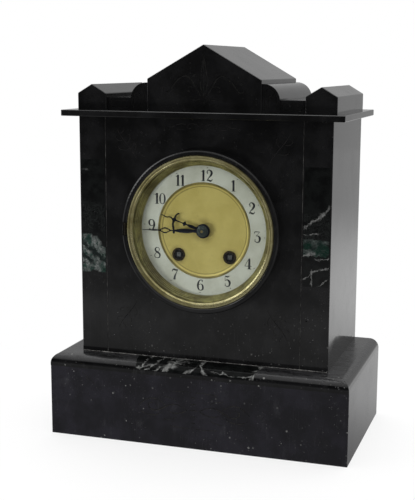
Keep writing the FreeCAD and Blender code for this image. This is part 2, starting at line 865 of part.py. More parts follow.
def holed(plate, y0, y1, holes):
    return plate.cut(Part.makeCompound([bar(radius, y0 - over, y1 + over, at) for radius, at in holes]))


def frame_plates():
    pivots = [(pivot_radius + shaft_fit, at) for at in (inter_at, third_at, escape_at, hammer_at)]
    barrels = [(barrel_pivot_radius + shaft_fit, at) for at in (going_at, strike_at)]
    ends = [(pillar_end_radius, at) for at in pillars_at]
    front = bar(frame_radius, frame_front, inner_front, centre_at)
    feet = [(foot_radius, at) for at in feet_at]
    centre = [(arbor_radius + shaft_fit, centre_at), (pivot_radius + shaft_fit, anchor_at)]
    front = holed(front, frame_front, inner_front, pivots + barrels + ends + feet + centre)
    stud_end = dial_plate_y + dial_plate_thickness + running
    stud = bar(minute_stud_radius, stud_end, frame_front, minute_at)
    front = front.fuse(stud)
    for at, side in ((going_at, 1), (strike_at, -1)):
        post = click_post_at(at, side)
        front = front.fuse(bar(click_post_radius, ratchet_y() - running, frame_front, post))
    save("front_plate", front.removeSplitter())
    rear = bar(frame_radius, inner_rear, frame_rear, centre_at)
    crutch_hole = [(arbor_radius + running, anchor_at), (pivot_radius + shaft_fit, centre_at)]
    hammer_hole = [(arbor_radius + shaft_fit, hammer_at)]
    rear = holed(rear, inner_rear, frame_rear, pivots[:3] + barrels + ends + crutch_hole + hammer_hole)
    save("back_plate", rear.removeSplitter())
    pillars = []
    for at in pillars_at:
        pillar = bar(pillar_radius, inner_front, inner_rear, at)
        pillars.append(pillar.fuse(bar(pillar_end_radius, frame_front, frame_rear, at)).removeSplitter())
    save("plate_pillars", Part.makeCompound(pillars))


def strap_screws_at():
    reach = strap_offset - strap_screw_inset
    return [(-reach, dial_height), (reach, dial_height)]


def straps():
    """Two flat straps that draw the dial plate back against the case."""
    start = dial_plate_y + dial_plate_thickness
    end = body_rear - running
    half = strap_width / 2
    low = dial_height - half
    high = dial_height + half
    solids = []
    screws = []
    for side, at in zip((-1, 1), strap_screws_at()):
        inner = side * strap_offset
        outer = side * (strap_offset + strap_thickness)
        x0, x1 = sorted((inner, outer))
        strip = block(x0, x1, start, end, low, high)
        toe = side * (dial_plate_radius - strap_thickness)
        x0, x1 = sorted((inner, toe))
        front = block(x0, x1, start, start + strap_thickness, low, high)
        heel = side * (strap_offset - strap_foot)
        x0, x1 = sorted((heel, outer))
        rear = block(x0, x1, end - strap_thickness, end, low, high)
        hole = bar(strap_screw_radius, end - strap_thickness - over, end + over, at)
        solids.append(strip.multiFuse([front, rear]).cut(hole).removeSplitter())
        head_y = body_rear + rear_ring_thickness
        shank = bar(strap_screw_radius, end - 2 * strap_thickness, head_y, at)
        head = bar(strap_screw_head, head_y, head_y + strap_screw_head_height, at)
        slot = block(at[0] - strap_screw_head, at[0] + strap_screw_head,
                     head_y + strap_screw_head_height / 2, rear_y + over,
                     dial_height - strap_thickness / 4, dial_height + strap_thickness / 4)
        screws.append(shank.fuse(head).cut(slot).removeSplitter())
    save("movement_straps", Part.makeCompound(solids))
    save("strap_screws", Part.makeCompound(screws))


# Barrels, arbors, ratchets and clicks

def barrel_levels():
    great = inner_front + great_lift
    return great, great + great_thickness, great + barrel_length


def barrel(name, at, phase):
    great, drum, end = barrel_levels()
    shape = gear(great_teeth, great_module, phase, great, drum, at)
    shape = shape.fuse(bar(barrel_radius, drum - over / 2, end, at))
    hollow = bar(barrel_radius - barrel_wall, drum, end - great_thickness / 2, at)
    hole = bar(barrel_arbor_radius + shaft_fit, great - over, end + over, at)
    save(name + "_barrel", shape.cut(hollow).cut(hole).removeSplitter())


def mainspring(name, at):
    """Flat strip wound in half turns between the arbor and the barrel wall."""
    great, drum, end = barrel_levels()
    y0 = drum + plate_clear
    y1 = end - great_thickness / 2 - plate_clear
    half = spring_strip / 2
    first = barrel_arbor_radius + running + half
    pitch = (barrel_radius - barrel_wall - seat - half - first) / spring_turns
    edges_out = []
    edges_in = []
    for k in range(2 * spring_turns):
        radius = first + k * pitch / 2
        middle = at[0] + (pitch / 2 if k % 2 else 0)
        side = 1 if k % 2 == 0 else -1
        for offset, edges in ((half, edges_out), (-half, edges_in)):
            r = radius + offset
            edges.append(Part.Arc(V(middle + side * r, y0, at[1]), V(middle, y0, at[1] + side * r),
                                  V(middle - side * r, y0, at[1])).toShape())
    start = Part.makeLine(V(at[0] + first - half, y0, at[1]), V(at[0] + first + half, y0, at[1]))
    last = at[0] + first + spring_turns * pitch
    finish = Part.makeLine(V(last + half, y0, at[1]), V(last - half, y0, at[1]))
    edges = Part.sortEdges([start, finish] + edges_in + edges_out)[0]
    save(name + "_mainspring", Part.Face(Part.Wire(edges)).extrude(V(0, y1 - y0, 0)))


def ratchet_y():
    return frame_front - plate_clear - wheel_thickness


def barrel_arbor(name, at):
    great, drum, end = barrel_levels()
    core = bar(barrel_arbor_radius, inner_front + seat, inner_rear - seat, at)
    core = core.fuse(bar(barrel_pivot_radius, ratchet_y(), frame_rear, at))
    ratchet = saw_wheel(ratchet_teeth, ratchet_radius, ratchet_tooth_depth,
                        ratchet_y(), ratchet_y() + wheel_thickness, at)
    half = winding_square / 2
    square = block(at[0] - half, at[0] + half, dial_y + centre_dish + square_setback, ratchet_y() + seat,
                   at[1] - half, at[1] + half)
    core = core.fuse(ratchet).fuse(square)
    save(name + "_arbor", core.removeSplitter())


def click_post_at(at, side):
    reach = click_reach
    turn = math.radians(click_post_angle)
    return (at[0] + side * reach * math.cos(turn), at[1] + reach * math.sin(turn))


def click(name, at, side):
    """Click on its post above the ratchet, its nose just clear of the teeth."""
    post = click_post_at(at, side)
    nose_turn = math.radians(click_nose_angle)
    nose_reach = ratchet_radius + running
    nose = (at[0] + side * nose_reach * math.cos(nose_turn), at[1] + nose_reach * math.sin(nose_turn))
    nose_share = 1 / 6
    top = (nose[0] + side * nose_share * click_width, nose[1] + click_width / 2)
    y0 = ratchet_y()
    y1 = y0 + wheel_thickness
    half = click_width / 2
    points = [nose, (post[0] - side * half / 2, post[1] - half),
              (post[0] + side * half, post[1] - half / 2), (post[0] + side * half, post[1] + half),
              (post[0] - side * half, post[1] + half), top]
    form = prism(points, y0, y1).fuse(bar(half, y0, y1, post))
    form = form.cut(bar(click_post_radius + shaft_fit, y0 - over, y1 + over, post))
    save(name + "_click", form.removeSplitter())


# Going train

def wheel_and_pinion(at, teeth, module, phase, level, leaves, leaf_module, leaf_phase, leaf_level):
    """Crossed-out wheel and its pinion on one arbor; levels count from the front plate."""
    y = inner_front + level
    wheel = gear(teeth, module, phase, y, y + wheel_thickness, at)
    rim = pitch_radius(teeth, module) - wheel_rim_share * module
    hub = wheel_hub_share * arbor_radius
    wheel = crossed_out(wheel, rim, hub, y, y + wheel_thickness, at)
    leaf_y = inner_front + leaf_level
    pinion = gear(leaves, leaf_module, leaf_phase, leaf_y - pinion_margin,
                  leaf_y + wheel_thickness + pinion_margin, at, leaf=True)
    return wheel.multiFuse([pinion, arbor(at, slim_radius(leaves, leaf_module))]).removeSplitter()


def going_train():
    great_phase = 0
    barrel("going", going_at, great_phase)
    barrel("strike", strike_at, great_phase)
    inter_pinion_phase = mesh_phase(great_teeth, great_phase, inter_pinion_leaves, going_at, inter_at)
    great_level = great_lift + (great_thickness - wheel_thickness) / 2
    inter = wheel_and_pinion(inter_at, inter_teeth, inter_module, 0, inter_level,
                             inter_pinion_leaves, great_module, inter_pinion_phase, great_level)
    save("intermediate_wheel", inter)
    centre_pinion_phase = mesh_phase(inter_teeth, 0, centre_pinion_leaves, inter_at, centre_at)
    centre = wheel_and_pinion(centre_at, centre_teeth, centre_module, 0, centre_level,
                              centre_pinion_leaves, inter_module, centre_pinion_phase, inter_level)
    shaft_end = dial_y - minute_hand_lift - collet_height
    shaft = bar(arbor_radius, shaft_end, inner_front + centre_level, centre_at)
    save("centre_wheel", centre.fuse(shaft).removeSplitter())
    third_phase = mesh_phase(centre_teeth, 0, third_pinion_leaves, centre_at, third_at)
    third = wheel_and_pinion(third_at, third_teeth, third_module, 0, third_level,
                             third_pinion_leaves, centre_module, third_phase, centre_level)
    save("third_wheel", third)
    escape_phase = mesh_phase(third_teeth, 0, escape_pinion_leaves, third_at, escape_at)
    y = inner_front + escape_level
    wheel = saw_wheel(escape_teeth, escape_radius, escape_tooth_depth, y, y + wheel_thickness, escape_at)
    wheel = crossed_out(wheel, escape_radius - 2 * escape_tooth_depth, wheel_hub_share * arbor_radius,
                        y, y + wheel_thickness, escape_at)
    leaf_y = inner_front + third_level
    pinion = gear(escape_pinion_leaves, third_module, escape_phase, leaf_y - pinion_margin,
                  leaf_y + wheel_thickness + pinion_margin, escape_at, leaf=True)
    slim = slim_radius(escape_pinion_leaves, third_module)
    shaft = arbor(escape_at, slim, min(pivot_radius, slim))
    save("escape_wheel", wheel.multiFuse([pinion, shaft]).removeSplitter())


def motion_work():
    """Cannon pinion, minute wheel on its stud, and the hour wheel that carries the hour hand."""
    rear = frame_front - plate_clear
    low_y = rear - 2 * wheel_thickness
    cannon = gear(cannon_teeth, cannon_module, 0, low_y - pinion_margin, rear, centre_at, leaf=True)
    pipe = bar(cannon_pipe_radius, dial_y - minute_hand_lift, rear, centre_at)
    bore = bar(arbor_radius + shaft_fit, dial_y - 2 * minute_hand_lift, frame_front, centre_at)
    save("cannon_pinion", cannon.fuse(pipe).cut(bore).removeSplitter())
    wheel_phase = mesh_phase(cannon_teeth, 0, minute_teeth, centre_at, minute_at)
    minute_y = low_y
    minute = gear(minute_teeth, cannon_module, wheel_phase, minute_y, minute_y + wheel_thickness, minute_at)
    front = dial_plate_y + dial_plate_thickness + running
    leaf = gear(minute_pinion_leaves, hour_module, 0, front, minute_y + seat, minute_at, leaf=True)
    bore = bar(minute_stud_radius + shaft_fit, front - over, frame_front, minute_at)
    save("minute_wheel", minute.fuse(leaf).cut(bore).removeSplitter())
    hour_phase = mesh_phase(minute_pinion_leaves, 0, hour_teeth, minute_at, centre_at)
    hour_y = front + running
    hour = gear(hour_teeth, hour_module, hour_phase, hour_y, hour_y + wheel_thickness, centre_at)
    pipe = bar(hour_pipe_radius, dial_y - hour_hand_lift, hour_y + wheel_thickness, centre_at)
    bore = bar(cannon_pipe_radius + shaft_fit, dial_y - 2 * hour_hand_lift, frame_front, centre_at)
    save("hour_wheel", hour.fuse(pipe).cut(bore).removeSplitter())


# Escapement, suspension and pendulum

def anchor():
    y = inner_front + escape_level
    reach = math.radians(anchor_half_angle)
    outer = bar(anchor_reach + anchor_width, y, y + wheel_thickness, escape_at)
    ring = outer.cut(bar(anchor_reach, y - over, y + wheel_thickness + over, escape_at))
    far = 2 * (anchor_reach + anchor_width)
    fan = prism([escape_at, (escape_at[0] - far * math.sin(reach), escape_at[1] + far * math.cos(reach)),
                 (escape_at[0], escape_at[1] + 2 * far),
                 (escape_at[0] + far * math.sin(reach), escape_at[1] + far * math.cos(reach))],
                y - over, y + wheel_thickness + over)
    half = anchor_width / 2
    stem = block(-half, half, y, y + wheel_thickness, escape_at[1] + anchor_reach + half, anchor_at[1])
    hub = bar(anchor_hub, y - pinion_margin, y + wheel_thickness, anchor_at)
    crutch_y = frame_rear + plate_clear
    rear_end = crutch_y + 2 * wheel_thickness
    shaft = bar(arbor_radius, inner_front + seat, rear_end, anchor_at)
    pivots = bar(pivot_radius, frame_front, cock_lug_y() + cock_cheek, anchor_at)
    blade = block(-crutch_width, crutch_width, crutch_y, crutch_y + wheel_thickness,
                  anchor_at[1] - crutch_drop, anchor_at[1])
    gap = rod_half_width + running
    fork = block(-gap - crutch_width, gap + crutch_width, crutch_y, pendulum_y + rod_half_width,
                 anchor_at[1] - crutch_drop - crutch_width, anchor_at[1] - crutch_drop + crutch_width)
    fork = fork.cut(block(-gap, gap, crutch_y + wheel_thickness, pendulum_y + 2 * rod_half_width,
                          anchor_at[1] - 2 * crutch_drop, anchor_at[1]))
    shape = ring.common(fan).multiFuse([stem, hub, shaft, pivots, blade, fork])
    save("anchor", shape.removeSplitter())


def cock_lug_y():
    """Front face of the lug that carries the anchor's rear pivot."""
    return frame_rear + plate_clear + 2 * wheel_thickness + seat


def cheek_places():
    inner = rod_half_width + running
    return (pendulum_y - inner - cock_cheek, pendulum_y + inner)


def suspension_cock():
    top = anchor_at[1] + cock_top
    end = cheek_places()[1] + cock_cheek
    bridge = block(-cock_half_width, cock_half_width, frame_rear, end, top - cock_thickness, top)
    half = cock_half_width / 2
    foot = anchor_at[1] - half
    lug_y = cock_lug_y()
    parts = [block(-half, half, lug_y, lug_y + cock_cheek, foot, top - cock_thickness)]
    for y in cheek_places():
        parts.append(block(-half, half, y, y + cock_cheek, foot, top - cock_thickness))
    shape = bridge.multiFuse(parts)
    shape = shape.cut(bar(pivot_radius + shaft_fit, frame_rear - over, end + over, anchor_at))
    save("suspension_cock", shape.removeSplitter())


def pendulum():
    x = anchor_at[0]
    pivot_z = anchor_at[1]
    cheeks = cheek_places()
    y0 = pendulum_y - rod_half_width
    y1 = pendulum_y + rod_half_width
    head = block(x - suspension_block, x + suspension_block, y0, y1,
                 pivot_z - suspension_block, pivot_z + suspension_block)
    pin = bar(pivot_radius, cheeks[0] + seat, cheeks[1] + cock_cheek, anchor_at)
    strip_end = pivot_z - suspension_block - suspension_length
    strip = block(x - suspension_strip, x + suspension_strip, y0, y1, strip_end, pivot_z)
    bob_z = pivot_z - pendulum_length
    rod_end = bob_z - bob_radius - 2 * rating_nut_height
    rod = upright(rod_half_width, x, pendulum_y, rod_end, strip_end + suspension_strip)
    nut_top = bob_z - bob_radius
    nut = upright(rating_nut_radius, x, pendulum_y, nut_top - rating_nut_height, nut_top)
    save("pendulum_rod", head.multiFuse([pin, strip, rod, nut]).removeSplitter())
    edge = bob_edge / 2
    crown = (bob_radius ** 2 + (bob_half_thickness - edge) ** 2) / (2 * (bob_half_thickness - edge))
    lens = bar(bob_radius, pendulum_y - bob_half_thickness, pendulum_y + bob_half_thickness, (x, bob_z))
    for side in (-1, 1):
        middle = V(x, pendulum_y - side * (crown - bob_half_thickness), bob_z)
        lens = lens.common(Part.makeSphere(crown, middle))
    bore = upright(rod_half_width + shaft_fit, x, pendulum_y, bob_z - 2 * bob_radius,
                   bob_z + 2 * bob_radius)
    save("pendulum_bob", lens.cut(bore))


# Bell and hammer

def bell():
    mouth = frame_rear + bell_gap
    crown = mouth + bell_height
    sphere = (bell_radius ** 2 + bell_height ** 2) / (2 * bell_height)
    middle = V(bell_at[0], crown - sphere, bell_at[1])
    cup = Part.makeSphere(sphere, middle).cut(Part.makeSphere(sphere - bell_wall, middle))
    keep = bar(2 * bell_radius, mouth, crown + over, bell_at)
    cup = cup.common(keep).cut(bar(bell_post_radius, mouth, crown + over, bell_at))
    post = bar(bell_post_radius, frame_rear, crown + bell_wall, bell_at)
    collar = bar(bell_nut_radius, frame_rear, frame_rear + bell_wall, bell_at)
    nut = bar(bell_nut_radius, crown, crown + 2 * bell_wall, bell_at)
    stand = post.multiFuse([collar, nut]).removeSplitter()
    save("bell", Part.makeCompound(cup.Solids + stand.Solids))


def hammer():
    arm_y = frame_rear + bell_gap - hammer_head_length / 2 + bell_wall
    shaft = bar(arbor_radius, inner_front + seat, arm_y + hammer_arm_radius, hammer_at)
    pivot = bar(pivot_radius, frame_front, inner_front + over, hammer_at)
    direction = V(head_at[0] - hammer_at[0], 0, head_at[1] - hammer_at[1])
    start = V(hammer_at[0], arm_y, hammer_at[1])
    arm = Part.makeCylinder(hammer_arm_radius, hammer_reach, start, direction)
    head = bar(hammer_head_radius, arm_y - hammer_head_length / 2, arm_y + hammer_head_length / 2, head_at)
    tail_y = inner_front + frame_gap / 2
    tail_share = 1 / 3
    tail = Part.makeCylinder(hammer_arm_radius, tail_share * hammer_reach,
                             V(hammer_at[0], tail_y, hammer_at[1]), V(-1, 0, -1))
    save("hammer", shaft.multiFuse([pivot, arm, head, tail]).removeSplitter())


# Back door

def door_hinge_x():
    return -(door_radius + door_hinge_offset)


def door_hinge_y():
    return rear_y - door_hinge_radius - shaft_fit


def back_ring():
    """Flat brass ring over the rear opening, slotted where the door's knuckles lie."""
    y0 = body_rear
    y1 = y0 + rear_ring_thickness
    ring = bar(rear_ring_outer, y0, y1, centre_at)
    ring = ring.cut(bar(rear_ring_inner, y0 - over, y1 + over, centre_at))
    half = door_hinge_length / 2 + running
    clear = door_hinge_radius + running
    x = door_hinge_x()
    ring = ring.cut(block(x - clear, x + clear, y0 - over, y1 + over,
                          dial_height - half, dial_height + half))
    for at in strap_screws_at():
        ring = ring.cut(bar(strap_screw_radius, y0 - over, y1 + over, at))
    save("back_ring", ring)


def back_hinge():
    """Fixed knuckles on two small leaves, one each side of the strap screw, and the pin."""
    x = door_hinge_x()
    y = door_hinge_y()
    half = door_hinge_length / 2
    tongue = door_tongue / 2 + shaft_fit
    leaf_y = body_rear + rear_ring_thickness
    shape = upright(door_pin_radius, x, y, dial_height - half, dial_height + half)
    for z0, z1 in ((dial_height - half, dial_height - tongue), (dial_height + tongue, dial_height + half)):
        leaf = block(x - door_leaf_width, x, leaf_y, leaf_y + door_leaf_thickness, z0, z1)
        shape = shape.fuse(upright(door_hinge_radius, x, y, z0, z1)).fuse(leaf)
    save("back_hinge", shape.removeSplitter())


def back_door():
    x = door_hinge_x()
    y0 = body_rear + rear_ring_thickness + seat
    y1 = y0 + door_thickness
    tongue = door_tongue / 2
    low = dial_height - tongue
    high = dial_height + tongue
    disc = bar(door_radius, y0, y1, centre_at)
    web = block(x, door_hinge_offset - door_radius, y0, y1, low, high)
    knuckle = upright(door_hinge_radius, x, door_hinge_y(), low, high)
    hole = upright(door_pin_radius + shaft_fit, x, door_hinge_y(), low - over, high + over)
    knob = bar(knob_radius, y1, y1 + knob_height, (door_radius - knob_inset, dial_height))
    save("back_door", disc.multiFuse([web, knuckle, knob]).cut(hole).removeSplitter())


for build in (plinth_walls, plinth_top_and_inlay, tie_rods, body_front_slab, body_walls, cornice, roof,
              dial_surround, bezel_hinge, bezel, glass, sight_ring, dial_parts, minute_hand, hour_hand,
              hand_collet, frame_plates, straps, going_train, motion_work, anchor, suspension_cock,
              pendulum, bell, hammer, back_ring, back_hinge, back_door):
    build()
for name, at, side in (("going", going_at, 1), ("strike", strike_at, -1)):
    mainspring(name, at)
    barrel_arbor(name, at)
    click(name, at, side)
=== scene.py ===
import json
import math
import random

import bpy
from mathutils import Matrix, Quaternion, Vector


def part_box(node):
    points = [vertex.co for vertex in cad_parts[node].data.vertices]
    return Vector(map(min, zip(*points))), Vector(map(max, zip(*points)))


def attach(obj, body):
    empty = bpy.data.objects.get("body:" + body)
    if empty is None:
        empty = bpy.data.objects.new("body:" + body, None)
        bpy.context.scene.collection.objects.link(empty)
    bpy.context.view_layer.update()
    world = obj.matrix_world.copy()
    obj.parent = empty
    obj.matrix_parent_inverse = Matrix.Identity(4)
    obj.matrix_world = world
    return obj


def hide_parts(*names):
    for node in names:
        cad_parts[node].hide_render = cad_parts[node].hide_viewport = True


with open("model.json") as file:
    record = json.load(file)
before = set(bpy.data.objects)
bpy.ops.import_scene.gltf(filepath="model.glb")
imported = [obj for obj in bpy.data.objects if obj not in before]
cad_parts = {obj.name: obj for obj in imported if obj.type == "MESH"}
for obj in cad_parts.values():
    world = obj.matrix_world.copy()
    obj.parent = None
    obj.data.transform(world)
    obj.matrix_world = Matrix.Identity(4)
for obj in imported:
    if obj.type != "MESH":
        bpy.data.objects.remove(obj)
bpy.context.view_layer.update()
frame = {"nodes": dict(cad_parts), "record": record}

mm = 0.001

# Studio: a pale floor that fades into a white room, a broad soft light overhead, a small one at the
# lower left and a fill in front. Black polished stone shows what it faces, so a dark flag stands before
# the clock and a lit card at its left. Only reflections see these two.

scene = bpy.context.scene
scene.view_settings.view_transform = "Standard"


def add_node(tree, kind, values, **settings):
    """One shader node: its options by name, and its inputs by name or number, as values or as links."""
    made = tree.nodes.new("ShaderNode" + kind)
    for name, setting in settings.items():
        setattr(made, name, setting)
    for name, value in values.items():
        if isinstance(value, bpy.types.NodeSocket):
            tree.links.new(value, made.inputs[name])
        else:
            made.inputs[name].default_value = value
    return made


def maths(tree, operation, *values):
    """A Math node with its operation, and values or links for its inputs."""
    return add_node(tree, "Math", dict(enumerate(values)), operation=operation).outputs[0]


def vectors(tree, operation, *values):
    """A Vector Math node. A length or a dot product comes out as a value, anything else as a vector."""
    made = add_node(tree, "VectorMath", dict(enumerate(values)), operation=operation)
    return made.outputs["Value" if operation in ("LENGTH", "DOT_PRODUCT") else "Vector"]


def spread(tree, value, low, high, to_low=0.0, to_high=1.0):
    """A smooth step of a value from one range to another."""
    made = add_node(tree, "MapRange", {"Value": value, "From Min": low, "From Max": high,
                                       "To Min": to_low, "To Max": to_high},
                    interpolation_type="SMOOTHSTEP")
    return made.outputs["Result"]


def stage_plane(name, size, centre, turn=(0, 0, 0)):
    """A flat card of the studio, which isn't part of the clock."""
    bpy.ops.mesh.primitive_plane_add(size=1, location=centre, rotation=turn)
    plane = bpy.context.active_object
    plane.name = name
    plane.scale = (size[0], size[1], 1)
    return plane


floor_reach = 6.0
floor_near = 0.10
floor_far = 0.34
floor_albedo = 0.86
white_share_at_foot = 0.72
mirrored_floor_before = 0.45
mirrored_floor_behind = 1.0
mirrored_floor_far = 0.55
mirrored_floor_near = 0.7
mirrored_floor_left = 1.5
room_left = 0.5
room_right = 0.22
room_back = 0.5
room_above = 0.8
white = (1, 1, 1, 1)

floor = stage_plane("floor", (floor_reach, floor_reach), (0, 0, -0.05 * mm))
paper = bpy.data.materials.new("pale_paper")
paper.use_nodes = True
tree = paper.node_tree
place = add_node(tree, "TexCoord", {}).outputs["Object"]
away = maths(tree, "MULTIPLY", vectors(tree, "LENGTH", place), floor_reach)
sides = add_node(tree, "SeparateXYZ", {0: place}).outputs
behind = maths(tree, "MULTIPLY", sides["Y"], floor_reach)
aside = maths(tree, "MULTIPLY", sides["X"], floor_reach)
fade = spread(tree, away, floor_near, floor_far, white_share_at_foot, 1.0)
shaded = tree.nodes["Principled BSDF"]
shaded.inputs["Base Color"].default_value = (floor_albedo, floor_albedo, floor_albedo, 1)
shaded.inputs["Roughness"].default_value = 1
shaded.inputs["Specular IOR Level"].default_value = 0
glow = add_node(tree, "Emission", {"Color": white, "Strength": 1.0}).outputs[0]
mixed = add_node(tree, "MixShader", {0: fade, 1: shaded.outputs[0], 2: glow}).outputs[0]
level = spread(tree, behind, -0.05, 0.15, mirrored_floor_before, mirrored_floor_behind)
level = maths(tree, "MULTIPLY", level, spread(tree, away, 0.55, 1.6, 1.0, mirrored_floor_far))
level = maths(tree, "MULTIPLY", level, spread(tree, away, 0.2, 0.6, mirrored_floor_near, 1.0))
level = maths(tree, "MULTIPLY", level, spread(tree, aside, -0.5, -0.25, mirrored_floor_left, 1.0))
mirrored_glow = add_node(tree, "Emission", {"Color": white, "Strength": level}).outputs[0]
seen = add_node(tree, "LightPath", {}).outputs["Is Camera Ray"]
mixed = add_node(tree, "MixShader", {0: seen, 1: mirrored_glow, 2: mixed}).outputs[0]
tree.links.new(mixed, tree.nodes["Material Output"].inputs["Surface"])
floor.data.materials.append(paper)

room = bpy.data.worlds.new("white_room")
scene.world = room
room.use_nodes = True
tree = room.node_tree
toward = add_node(tree, "TexCoord", {}).outputs["Generated"]
sides = add_node(tree, "SeparateXYZ", {0: toward}).outputs
front = spread(tree, sides["X"], -0.85, -0.4, room_left, room_right)
level = spread(tree, sides["Y"], -0.3, 0.45, front, room_back)
level = maths(tree, "ADD", level, spread(tree, sides["Z"], 0.33, 0.75, 0.0, room_above))
seen = add_node(tree, "LightPath", {}).outputs["Is Camera Ray"]
level = maths(tree, "MAXIMUM", level, seen)
tree.nodes["Background"].inputs["Color"].default_value = white
tree.links.new(level, tree.nodes["Background"].inputs["Strength"])

flag_height = 0.36
flag_middle = 0.19
flag_glow = 0.21
flag_glow_top = 0.16
flag = stage_plane("dark_flag", (0.66, flag_height), (-0.2, -0.5, flag_middle), (math.radians(90), 0, 0))
felt = bpy.data.materials.new("black_felt")
felt.use_nodes = True
tree = felt.node_tree
sockets = tree.nodes["Principled BSDF"].inputs
sockets["Base Color"].default_value = (0.02, 0.02, 0.022, 1)
sockets["Roughness"].default_value = 1
sockets["Emission Color"].default_value = white
rise = add_node(tree, "SeparateXYZ", {0: add_node(tree, "TexCoord", {}).outputs["Object"]}).outputs["Y"]
rise = maths(tree, "MULTIPLY_ADD", rise, flag_height, flag_middle)
tree.links.new(spread(tree, rise, 0.0, flag_glow_top, flag_glow, 0.0), sockets["Emission Strength"])
flag.data.materials.append(felt)

silk_glow = 3.0
left_card = stage_plane("left_card", (0.5, 0.6), (-0.72, -0.3, 0.55),
                        (math.radians(80), 0, math.radians(-67)))
silk = bpy.data.materials.new("lit_silk")
silk.use_nodes = True
sockets = silk.node_tree.nodes["Principled BSDF"].inputs
sockets["Base Color"].default_value = (0, 0, 0, 1)
sockets["Emission Color"].default_value = white
sockets["Emission Strength"].default_value = silk_glow
left_card.data.materials.append(silk)
for reflected in (flag, left_card):
    reflected.visible_camera = False
    reflected.visible_diffuse = False
    reflected.visible_shadow = False
    reflected.visible_transmission = False


def soft_light(name, size, power, place, aim):
    """A square light that the camera doesn't see, turned towards a point."""
    lamp = bpy.data.lights.new(name, "AREA")
    lamp.shape = "SQUARE"
    lamp.size = size
    lamp.energy = power
    box = bpy.data.objects.new(name, lamp)
    scene.collection.objects.link(box)
    box.location = place
    box.rotation_euler = (Vector(aim) - Vector(place)).to_track_quat("-Z", "Y").to_euler()
    box.visible_camera = False
    return box


soft_light("overhead_softbox", 1.3, 11.0, (0.1, 0.28, 1.45), (0, 0, 0.1))
for name, size, power, place in (("left_window", 0.18, 2.9, (-0.44, -0.52, 0.02)),
                                 ("front_fill", 1.2, 6.2, (0.5, -1.6, 0.9))):
    soft_light(name, size, power, place, (0, -0.04, 0.17)).visible_glossy = False

camera_azimuth = math.radians(17.16)
camera_height = math.radians(10.18)
camera_roll = math.radians(0.45)
camera_distance = 869.127 * mm
camera_target = Vector((12.642, -7.5, 150.291)) * mm
focal_px = 1050.19
photo_long_px = 500
photo_middle_px = (207.5, 250.0)
axis_px = (231.9, 253.4)

lens = bpy.data.cameras.new("camera")
lens.sensor_width = 36
lens.lens = focal_px * lens.sensor_width / photo_long_px
lens.shift_x = (photo_middle_px[0] - axis_px[0]) / photo_long_px
lens.shift_y = (axis_px[1] - photo_middle_px[1]) / photo_long_px
camera = bpy.data.objects.new("camera", lens)
scene.collection.objects.link(camera)
back = Vector((math.sin(camera_azimuth) * math.cos(camera_height),
               -math.cos(camera_azimuth) * math.cos(camera_height), math.sin(camera_height)))
camera.location = camera_target + back * camera_distance
camera.rotation_mode = "QUATERNION"
camera.rotation_quaternion = ((-back).to_track_quat("-Z", "Y")
                              @ Quaternion((0, 0, 1), camera_roll))
scene.camera = camera

# Plinth: four slabs of black slate on edge, ground flat, polished and waxed on the three sides that
# show and left dull within. The front carries an incised cartouche, once picked out in gold and now
# grey with old polish. Its right-hand corner is chipped.


def start_finish(name, **settings):
    """A material, its node tree, its shader with the given sockets set, and the place on the piece."""
    finish = bpy.data.materials.new(name)
    finish.use_nodes = True
    shader = finish.node_tree.nodes["Principled BSDF"]
    for socket, value in settings.items():
        shader.inputs[socket.replace("_", " ")].default_value = value
    place = add_node(finish.node_tree, "TexCoord", {}).outputs["Object"]
    return finish, finish.node_tree, shader, place


def cloud(tree, place, scale, detail, rough=0.55, distortion=0.0):
    """Noise with so many waves to the metre."""
    made = add_node(tree, "TexNoise", {"Vector": place, "Scale": scale, "Detail": detail,
                                       "Roughness": rough, "Distortion": distortion})
    return made.outputs["Fac"]


def tint(tree, share, first, second):
    """One colour passing into another."""
    made = add_node(tree, "Mix", {0: share, 6: first, 7: second}, data_type="RGBA")
    return made.outputs[2]


def stretched(tree, place, scale, turn=(0, 0, 0)):
    """The place on the piece, turned and drawn out, for marks that run one way."""
    made = add_node(tree, "Mapping", {"Vector": place, "Rotation": turn, "Scale": scale})
    return made.outputs[0]


def relief(tree, shader, height, strength, distance):
    """Fine unevenness of the surface."""
    bump = add_node(tree, "Bump", {"Height": height, "Strength": strength, "Distance": distance})
    tree.links.new(bump.outputs[0], shader.inputs["Normal"])


def scratches(tree, place, turns, keep):
    """Fine straight marks of the rubbing block, in a few directions."""
    found = None
    for turn in turns:
        lines = cloud(tree, stretched(tree, place, (2600, 2600, 26), turn), 1.0, 1.0)
        mark = spread(tree, lines, keep, keep + 0.05)
        found = mark if found is None else maths(tree, "MAXIMUM", found, mark)
    patches = spread(tree, cloud(tree, place, 55, 2.0), 0.45, 0.62)
    return maths(tree, "MULTIPLY", found, patches)


def specks(tree, place):
    """Specks of dust and lime: the cores of cells in two sizes, of which only some grow any speck."""
    speck = None
    for cells, rarest in ((260.0, 0.66), (560.0, 0.60)):
        fine = add_node(tree, "TexVoronoi", {"Vector": place, "Scale": cells, "Randomness": 1.0})
        chosen = add_node(tree, "SeparateXYZ", {0: fine.outputs["Color"]})
        size = spread(tree, chosen.outputs["X"], rarest, 1.0, 0.0, 0.26)
        found = spread(tree, maths(tree, "SUBTRACT", size, fine.outputs["Distance"]), 0.0, 0.09)
        found = maths(tree, "MULTIPLY", found, chosen.outputs["Y"])
        speck = found if speck is None else maths(tree, "MAXIMUM", speck, found)
    return speck


def ledge_dust(tree, place, height, clean_height, dusty_height, share):
    """Dust that has drifted on the top of a ledge, from a clean height up to a dusty one."""
    drift = cloud(tree, stretched(tree, place, (0.4, 1.6, 1)), 150, 6.0, 0.7)
    drift = spread(tree, drift, 0.34, 0.62, 0.25, 1.0)
    return maths(tree, "MULTIPLY", drift, spread(tree, height, clean_height, dusty_height, 0.0, share))


